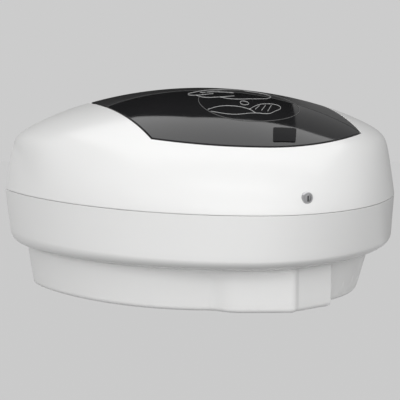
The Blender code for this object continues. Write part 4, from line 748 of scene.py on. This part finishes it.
# Painted shade: the plate is near black and reflects nothing, so its rim stands in for the shadow in
# the gap round the tile.
moulded("tile_gap_shade", grey(0.003), grey(0.005), 0.5, Specular_IOR_Level=0.0)
moulded("tile_smoke", (0.014, 0.014, 0.015), (0.019, 0.019, 0.020), 0.12, Specular_IOR_Level=0.02)
tile_layer("tile_shade_rim", 0.0, TILE_RISE, "tile_gap_shade", ["indicator_window"])
tile_layer("tile_glass", TILE_SHADE_RIM, TILE_FACE_RISE, "tile_smoke")

# %% [markdown]
# ## The signs printed on the window, and a painted ring
# Fine grey lines show how the dispenser is used: a hand over a palm with a drop between them. A
# dimmer grey ring round them is painted highlight, for the lit rim of a round shape moulded in the
# window. Each line is a curve through a few places in plan, laid on the window, given a fine round
# section and made a mesh.

# %% A printed line
PRINT_WIDTH = 0.00042
PRINT_RISE = PRINT_WIDTH * 0.15


def printed_line(points, closed=False):
    """A fine tube along places in plan, partly sunk in the window."""
    data = bpy.data.curves.new("line", "CURVE")
    data.dimensions = "3D"
    data.bevel_depth = PRINT_WIDTH / 2
    data.bevel_resolution = 1
    data.resolution_u = 6
    data.use_fill_caps = True
    spline = data.splines.new("BEZIER")
    spline.bezier_points.add(len(points) - 1)
    for knot, (x, depth) in zip(spline.bezier_points, points):
        knot.co = above_crown(x, depth, PRINT_RISE)
        knot.handle_left_type = knot.handle_right_type = "AUTO"
    spline.use_cyclic_u = closed
    holder = bpy.data.objects.new("line", data)
    bpy.context.scene.collection.objects.link(holder)
    mesh = bpy.data.meshes.new_from_object(holder)
    bpy.data.objects.remove(holder)
    bm = bmesh.new()
    bm.from_mesh(mesh)
    bpy.data.meshes.remove(mesh)
    bmesh.ops.remove_doubles(bm, verts=bm.verts[:], dist=MERGE)
    bmesh.ops.recalc_face_normals(bm, faces=bm.faces[:])
    return bm


def millimetres(*places):
    return [(x / 1000, depth / 1000) for x, depth in places]


def ink_and_sheen_grey(name, dark, light):
    """Adds a matt grey with a fine, uneven grain: ink for the signs, and painted highlight for the
    ring.
    """
    moulded(name, grey(dark), grey(light), 0.5, grain=2600.0, height=0.00001, cloud=140.0)


# %% Print the signs and paint the ring's highlight
RING_MIDDLE = (0.0335, 0.0465)
RING_RADIUS = 0.0335
RING_STEPS = 40
UPPER_HAND = [
    millimetres((46, 18), (30, 13), (14, 17), (0, 25), (-7, 33), (-2, 36), (10, 33)),
    millimetres((-2, 36), (4, 42), (14, 42), (24, 38)),
    millimetres((14, 42), (22, 46), (34, 43), (46, 36)),
    millimetres((1, 29), (12, 27), (24, 28)),
    millimetres((46, 18), (49, 27), (46, 36)),
]
DROP = millimetres((29.5, 49.5), (27.6, 54.0), (30.2, 57.0), (33.0, 54.2))
LOWER_HAND = [
    millimetres((6, 64), (14, 60), (24, 60), (33, 64), (37, 69)),
    millimetres((33, 64), (39, 55), (45, 50), (52, 49), (54, 54), (50, 62), (45, 68), (37, 69),
                (22, 72), (8, 67)),
    millimetres((40, 56), (37, 63)),
    millimetres((44, 54), (41, 64)),
    millimetres((48, 52), (45, 64)),
]


def ring_line():
    turns = [2 * pi * step / RING_STEPS for step in range(RING_STEPS)]
    x, depth = RING_MIDDLE
    return [(x + RING_RADIUS * cos(turn), depth + RING_RADIUS * sin(turn)) for turn in turns]


ink_and_sheen_grey("sign_print", 0.36, 0.46)
# The ring's dim grey is painted highlight, for the lit rim of a round shape moulded in the window.
ink_and_sheen_grey("ring_painted_highlight", 0.085, 0.12)
hands = [printed_line(points) for points in UPPER_HAND + LOWER_HAND]
hands.append(printed_line(DROP, closed=True))
piece("sign_hands", hands, "lid", "sign_print")
# The ring is painted highlight, not print.
piece("ring_highlight", [printed_line(ring_line(), closed=True)], "lid", "ring_painted_highlight")

# %% [markdown]
# ## The lower shell
# The lower shell carries the lid. Its wall tapers straight down from the seam and rolls under in a
# deep round. As with the lid, a fine skin goes over a copy of the mechanical shell. Here the skin
# stands clear of the copy, so a flat rib at each rear end closes the room between the two.

# %% Make the lower shell
SKIRT_ENDS = (0.003, 0.997)
SKIRT_TOP = 0.005
SKIRT_SKIN = 0.0012
SKIRT_LEVELS = grid_cuts(0.0, 0.5, 10) + grid_cuts(0.5, 1.0, 64)
SKIRT_SHRINK = (0.985, 0.985, 0.992)
RIB_REACHES = (0.0006, 0.0110)
RIB_TOP = 0.13
RIB_RUN = 0.86
RIB_STEPS = 40
RIB_BACK = REAR - 0.0006
RIB_THICKNESS = 0.0015


def skirt_outline():
    low, high = SKIRT_ENDS
    return [(low, SKIRT_TOP), (high, SKIRT_TOP), (high, high), (low, high)]


def rear_rib(u):
    """A flat rib that closes the room between the skin and the mechanical shell at the back."""
    bm = bmesh.new()
    rows = []
    line = [skirt_place(u, RIB_TOP + RIB_RUN * step / RIB_STEPS) for step in range(RIB_STEPS + 1)]
    for reach in RIB_REACHES:
        across = reach if u < 0.5 else -reach
        corners = [bm.verts.new((place.x + across, RIB_BACK, place.z)) for place in line]
        rows += [bm.edges.new(pair) for pair in zip(corners, corners[1:])]
    bmesh.ops.bridge_loops(bm, edges=rows)
    made = bmesh.ops.extrude_face_region(bm, geom=bm.faces[:])["geom"]
    front = only(made, bmesh.types.BMVert)
    bmesh.ops.translate(bm, verts=front, vec=(0.0, -RIB_THICKNESS, 0.0))
    bmesh.ops.recalc_face_normals(bm, faces=bm.faces[:])
    soften(bm, degrees=30)
    return bm


shell_parts = [rear_rib(u) for u in SKIRT_ENDS] + [
    skin_of(skirt_outline(), skirt_place, quarter(EDGE), SKIRT_SKIN, SKIRT_LEVELS),
    copy_of("lower_housing", Vector((CORE.x, REAR, CORE.z)), SKIRT_SHRINK),
]
piece("lower_shell", shell_parts, "housing", "white_gloss_plastic", ["lower_housing"])

# %% [markdown]
# ## The base's outline
# The base is drawn in under the shell and flares a little towards it. At the front right a bulge
# holds the spout and the eye, in two faces with a soft groove between them and a sharp step back.
# The plan's curve gives the outline on both sides, and a few rounded corners give the bulge. A
# corner without a depth of its own lies on the curve.

# %% Draw the base at a level
POD_PLAN = Plan(0.008, 0.126, 0.1045, 0.086, 0.82, 0.47)
POD_FLARE = Plan(0.0, 0.004, 0.008, 0.003, 0.0, 0.0)
POD_STEPS = 120
BulgeCorner = namedtuple("BulgeCorner", "x depth radius")
BULGE = [
    BulgeCorner(0.0090, None, 0.030),
    BulgeCorner(0.0210, 0.0936, 0.030),
    BulgeCorner(0.0615, 0.0926, 0.0050),
    BulgeCorner(0.0645, 0.0885, 0.0040),
    BulgeCorner(0.0870, 0.0718, 0.0007),
    BulgeCorner(0.0870, None, 0.0009),
]
LEFT_ROOM = 0.004
RIGHT_ROOM = 0.0015


def pod_plan(share):
    """The base's plan without its bulge, from a share of 0 at the foot to 1 at the shell."""
    return Plan(*(a + b * share for a, b in zip(POD_PLAN, POD_FLARE)))


def edge_depth(plan, x):
    """How far forwards a plan reaches at a place across."""
    half, power = (plan.left, plan.left_power) if x < plan.peak else (plan.right, plan.right_power)
    return plan.depth * max(1 - ((x - plan.peak) / half) ** 2, 0.0) ** power


def pod_outline(share):
    """The base's outline at a level, from its left rear corner round the front to the right."""
    plan = pod_plan(share)
    steps = [i / POD_STEPS for i in range(POD_STEPS + 1)]
    places = [(plan_place(POD_PLAN, u)[0], plan_place(plan, u)) for u in steps]
    left = [place for x, place in places if x < BULGE[0].x - LEFT_ROOM]
    right = [place for x, place in places if x > BULGE[-1].x + RIGHT_ROOM]
    corners = [Vector((x, edge_depth(plan, x) if depth is None else depth)) for x, depth, _ in BULGE]
    line = [Vector(left[-1]), *corners, Vector(right[0])]
    made = []
    for before, here, after, bend in zip(line, line[1:], line[2:], BULGE):
        bent = corner(before, here, after, bend.radius, share=0.49, steps=9)
        if made:
            made += straight(made[-1], bent[0], 8)[1:]
        made += bent
    return left + made + right


print("base outline", len(pod_outline(0.0)), "corners at the foot,", len(pod_outline(1.0)), "on top")

# %% [markdown]
# ## The base
# A chain of corners is extruded level by level: up the rounded foot and the flared wall, over the
# rim and down inside. The last level is bridged back to the first, and the two open ends at the
# wall are filled. A copy of the mechanical base stands inside, and what would come through the
# softer bulge is drawn back behind it. The switch's slot keeps its place, since its slider moves.

# %% Make the base
POD_ROUND = 0.0035
POD_WALL = 0.0012
POD_FLOOR = 0.0010
POD_INSIDE = POD_ROUND + 0.004
POD_SHARES = (0.2, 0.4, 0.6, 0.8, 1.0)
BACK_GAP = 0.0003
SIDE_TUCK = 0.996
POD_SHRINK = (SIDE_TUCK, 0.9955, 0.992)
SWITCH_PLACE = Vector((0.090, 0.043))
SWITCH_ROOM = 0.008
BULGE_ROOM = 0.012
BULGE_SKIN = 0.0009


def ring_at(share, height, inwards):
    """The base's outline in space at a level, drawn in by a distance."""
    line = pod_outline(share)
    if inwards:
        line = offset(line, inwards)
        line = [(line[0][0], 0.0), *line[1:-1], (line[-1][0], 0.0)]
    return [spot(x, max(depth, BACK_GAP), height) for x, depth in line]


def tucked_base():
    """The mechanical base, with what would stand proud of the soft bulge drawn back behind it."""
    bm = copy_of("base_pod", spot(0.0, 0.0, SHELL_BOTTOM), POD_SHRINK)
    for vert in bm.verts:
        if (vert.co.xy - SWITCH_PLACE).length < SWITCH_ROOM:
            vert.co.x /= SIDE_TUCK
        if not BULGE[0].x - BULGE_ROOM < vert.co.x < BULGE[-1].x:
            continue
        line = pod_outline(min(max(vert.co.z / SHELL_BOTTOM, 0.0), 1.0))
        front = next(b[1] for a, b in zip(line, line[1:]) if a[0] <= vert.co.x <= b[0])
        below = max(1 - vert.co.z / POD_ROUND, 0.0)
        limit = front - BULGE_SKIN - POD_ROUND * (1 - (1 - below ** 2) ** 0.5)
        vert.co.y = max(vert.co.y, REAR - limit)
    return bm


def pod_levels():
    """Each level's share of the flare, its height and how far it is drawn in."""
    turns = [pi / 2 * i / 6 for i in range(7)]
    foot = [(0.0, POD_ROUND * (1 - sin(t)), POD_ROUND * (1 - cos(t))) for t in turns[::-1]]
    wall = [(share, POD_ROUND + (SHELL_BOTTOM - POD_ROUND) * share, 0.0) for share in POD_SHARES]
    inside = [(1.0, SHELL_BOTTOM, POD_WALL), (0.2, POD_INSIDE, POD_WALL), (0.0, POD_FLOOR, POD_ROUND)]
    return foot + wall + inside


def base_skin():
    """The base's soft outer skin with the bulge."""
    levels = pod_levels()
    bm = bmesh.new()
    corners = [bm.verts.new(place) for place in ring_at(*levels[0])]
    first = [bm.edges.new(pair) for pair in zip(corners, corners[1:])]
    known = {vert: i for i, vert in enumerate(corners)}
    row = first
    for level in levels[1:]:
        known, row = next_row(bm, row, known)
        places = ring_at(*level)
        for vert, index in known.items():
            vert.co = places[index]
    bmesh.ops.bridge_loops(bm, edges=first + row)
    bmesh.ops.holes_fill(bm, edges=[edge for edge in bm.edges if edge.is_boundary], sides=0)
    bmesh.ops.recalc_face_normals(bm, faces=bm.faces[:])
    print("base skin", sum(edge.is_boundary for edge in bm.edges), "open edges")
    soften(bm, degrees=40)
    return bm


piece("base", [base_skin(), tucked_base()], "housing", "white_gloss_plastic", ["base_pod"])

# %% [markdown]
# ## The lock
# A small round cam lock sits on the front right of the lid, just over the seam. It is turned
# metal: a head with a bevelled edge, a plug set off by a fine groove, and a slot for a flat key.
# A circle is extruded and its face inset step by step. The slot is a black bevelled block set in
# the face: painted shade that stands in for the dark inside of the keyway.

# %% Make the lock
LOCK_PLACE = Vector((0.066, -0.056571, 0.0788))
LOCK_OUT = Vector((0.456281, -0.889836, 0.0)).normalized()
LOCK_RADIUS = 0.0037
LOCK_DEPTH = 0.0042
LOCK_LENGTH = 0.0051
LOCK_STEPS = ((0.0005, 0.0005), (0.00055, 0.0), (0.0003, -0.0005), (0.0001, 0.0004))
KEY_SLOT = (0.0011, 0.0036, 0.0008)
KEY_SLOT_EDGE = 0.0002
KEY_SLOT_RISE = 0.0010


def lock_head():
    """A short cylinder whose end is inset and moved in steps."""
    bm = bmesh.new()
    bmesh.ops.create_circle(bm, cap_ends=True, segments=48, radius=LOCK_RADIUS)
    face = next(iter(bm.faces))
    bm.normal_update()
    if face.normal.z < 0:
        face.normal_flip()
    made = bmesh.ops.extrude_face_region(bm, geom=[face])["geom"]
    face = only(made, bmesh.types.BMFace)[0]
    bmesh.ops.translate(bm, verts=face.verts[:], vec=(0.0, 0.0, LOCK_LENGTH))
    for width, rise in LOCK_STEPS:
        bmesh.ops.inset_region(bm, faces=[face], thickness=width, depth=0.0)
        bmesh.ops.translate(bm, verts=face.verts[:], vec=(0.0, 0.0, rise))
    return bm


# A black block where the keyway is: painted shade for the dark inside of the slot.
def slot_shade_block():
    bm = bmesh.new()
    bmesh.ops.create_cube(bm, size=1.0)
    bmesh.ops.scale(bm, verts=bm.verts[:], vec=KEY_SLOT)
    bmesh.ops.bevel(
        bm, geom=bm.edges[:], offset=KEY_SLOT_EDGE, affect="EDGES", segments=2, profile=0.5, material=-1
    )
    return bm


def set_on_lock(bm, rise):
    """Turns a shape to face out of the lid and puts it on the lock's axis."""
    turn = LOCK_OUT.to_track_quat("Z", "Y").to_matrix().to_4x4()
    bmesh.ops.translate(bm, verts=bm.verts[:], vec=(0.0, 0.0, rise))
    bmesh.ops.transform(bm, verts=bm.verts[:], matrix=Matrix.Translation(LOCK_PLACE) @ turn)
    return bm


piece("lock", [set_on_lock(lock_head(), -LOCK_DEPTH)], "lock", "steel", ["lock_barrel"])
# The slot's black block is painted shade for the inside of the keyway.
piece("lock_slot_shade", [set_on_lock(slot_shade_block(), KEY_SLOT_RISE)], "lock", "black_plastic")

# %% [markdown]
# ## The surround and the floor
# The studio is plain, with an even pale surround and a pale floor. The Light Path node parts what
# is seen, mirrored or seen through a clear piece from what lights the object, so that the tone of
# the background can be set without a change of the light. A share of the floor stays matt, and
# that share takes the shadow.

# %% Set up the surround and the floor
BACKDROP = 0.604
SOFT_LIGHT = 0.63
FLOOR_GLOW = 1.07
FLOOR_TONE = 0.15
FLOOR_SHARE = 0.9
FLOOR_RADIUS = 4.0
FLOOR_HEIGHT = -0.32


def seen_in(tree):
    """1 for what the camera sees, straight or mirrored or through a clear piece, and 0 for light."""
    path = tree.nodes.new("ShaderNodeLightPath")
    camera_ray, glossy_ray, clear_ray = (
        Knot(tree, path.outputs[f"Is {kind} Ray"]) for kind in ("Camera", "Glossy", "Transmission")
    )
    return camera_ray + glossy_ray + clear_ray


def studio_surround():
    world = bpy.data.worlds.new("surround")
    world.use_nodes = True
    tree = world.node_tree
    tone = tinted(seen_in(tree), grey(SOFT_LIGHT), grey(BACKDROP))
    tree.links.new(tone.socket, tree.nodes["Background"].inputs["Color"])
    bpy.context.scene.world = world


def floor_finish():
    made = bpy.data.materials.new("pale_floor")
    made.use_nodes = True
    tree = made.node_tree
    tree.nodes.clear()
    seen = seen_in(tree)
    glow = seen.node("ShaderNodeEmission", None, Color=(*grey(BACKDROP), 1.0), Strength=FLOOR_GLOW)
    matt = seen.node("ShaderNodeBsdfDiffuse", None, Color=(*grey(FLOOR_TONE), 1.0))
    mix = seen.node(
        "ShaderNodeMixShader", None, n0=FLOOR_SHARE * seen, n1=seen.out(matt), n2=seen.out(glow)
    )
    end = tree.nodes.new("ShaderNodeOutputMaterial")
    tree.links.new(mix.outputs[0], end.inputs["Surface"])
    return made


def studio_object(name, bm, material):
    """An object of the studio from a bmesh."""
    mesh = bpy.data.meshes.new(name)
    bm.to_mesh(mesh)
    bm.free()
    made = bpy.data.objects.new(name, mesh)
    bpy.context.scene.collection.objects.link(made)
    mesh.materials.append(material)
    return made


def floor(radius, height):
    bm = bmesh.new()
    bmesh.ops.create_circle(bm, cap_ends=True, segments=96, radius=radius)
    bmesh.ops.translate(bm, verts=bm.verts[:], vec=(0.0, 0.0, height))
    made = studio_object("floor", bm, floor_finish())


studio_surround()
floor(FLOOR_RADIUS, FLOOR_HEIGHT)
print("floor at", FLOOR_HEIGHT)

# %% [markdown]
# ## Cards and lamps
# White shells want much soft light, and a glossy black window mirrors whatever gives it. So the
# four soft lamps, in front, low in front and at both sides, are hidden from gloss. What the window
# mirrors instead is three cards that show only in reflections: a dark one behind it, a grey one to
# its right and a bright one overhead. One narrow lamp stays in the gloss and draws a soft streak.

# %% Set up the cards and the lamps
CARD_BACK = 0.5
DARK_CARD = (
    (-1.5, 0.15), (0.10, 0.15), (0.28, 0.74), (0.06, 0.86), (-0.11, 0.84), (-0.24, 0.67), (-1.5, 0.55),
)
GREY_CARD = ((0.13, -0.1), (1.6, -0.1), (1.6, 0.74), (0.28, 0.74), (0.10, 0.15))
OVERHEAD_CARD = ((-0.8, -0.15, 1.0), (1.0, -0.15, 1.0), (1.0, 0.85, 1.0), (-0.8, 0.85, 1.0))
LAMP_AIM = (0.0, 0.0, 0.06)
STREAK_AIM = (0.0, 0.0, 0.08)
LAMPS = (
    ("front", (-0.2, -1.4, 0.50), (1.4, 0.6), 7.4),
    ("low_front", (0.0, -1.5, 0.10), (1.4, 0.5), 3.8),
    ("left", (-1.1, -0.9, 0.55), (0.6, 0.6), 1.9),
    ("right", (0.8, -1.2, 0.55), (0.6, 0.6), 2.0),
)


def card(name, corners, shade):
    """A studio card that shows only in reflections."""
    bm = bmesh.new()
    bm.faces.new([bm.verts.new(place) for place in corners])
    tone = bpy.data.materials.new(name)
    tone.use_nodes = True
    shader = tone.node_tree.nodes["Principled BSDF"]
    shader.inputs["Base Color"].default_value = (*grey(0.0), 1.0)
    shader.inputs["Specular IOR Level"].default_value = 0.0
    shader.inputs["Emission Color"].default_value = (*grey(shade), 1.0)
    shader.inputs["Emission Strength"].default_value = 1.0
    made = studio_object(name, bm, tone)
    made.visible_camera = False
    made.visible_diffuse = False
    made.visible_shadow = False


def upright(places):
    return [(x, CARD_BACK, height) for x, height in places]


def soft_lamp(name, place, aim, size, power):
    data = bpy.data.lights.new(name, "AREA")
    data.shape = "RECTANGLE"
    data.size, data.size_y = size
    data.energy = power
    lamp = bpy.data.objects.new(name, data)
    lamp.location = place
    lamp.rotation_euler = (Vector(aim) - Vector(place)).to_track_quat("-Z", "Y").to_euler()
    bpy.context.scene.collection.objects.link(lamp)
    return lamp


card("dark_card", upright(DARK_CARD), shade=0.004)
card("grey_card", upright(GREY_CARD), shade=0.28)
card("overhead_card", OVERHEAD_CARD, shade=1.9)
for name, place, size, power in LAMPS:
    lamp = soft_lamp(name, place, LAMP_AIM, size, power)
    lamp.visible_glossy = False
soft_lamp("streak", place=(-0.1, -0.75, 1.05), aim=STREAK_AIM, size=(0.9, 0.12), power=0.6)
print("lamps", len(LAMPS) + 1)

# %% [markdown]
# ## The camera
# The camera looks slightly down at the front from less than a metre away, which gives the shells
# their slight perspective. Its shift and its depth of field stay off, so other views match.

# %% Set up the camera
CAMERA_PLACE = (0.0010, -0.7773, 0.1773)
LOOK_DOWN = 7.872
LENS = 107.75
SENSOR_WIDTH = 36.0

camera_data = bpy.data.cameras.new("camera")
camera_data.lens = LENS
camera_data.sensor_width = SENSOR_WIDTH
camera = bpy.data.objects.new("camera", camera_data)
camera.location = CAMERA_PLACE
camera.rotation_euler = (radians(90 - LOOK_DOWN), 0.0, 0.0)
bpy.context.scene.collection.objects.link(camera)
bpy.context.scene.camera = camera
bpy.context.scene.view_settings.view_transform = "Standard"
print("camera", CAMERA_PLACE)
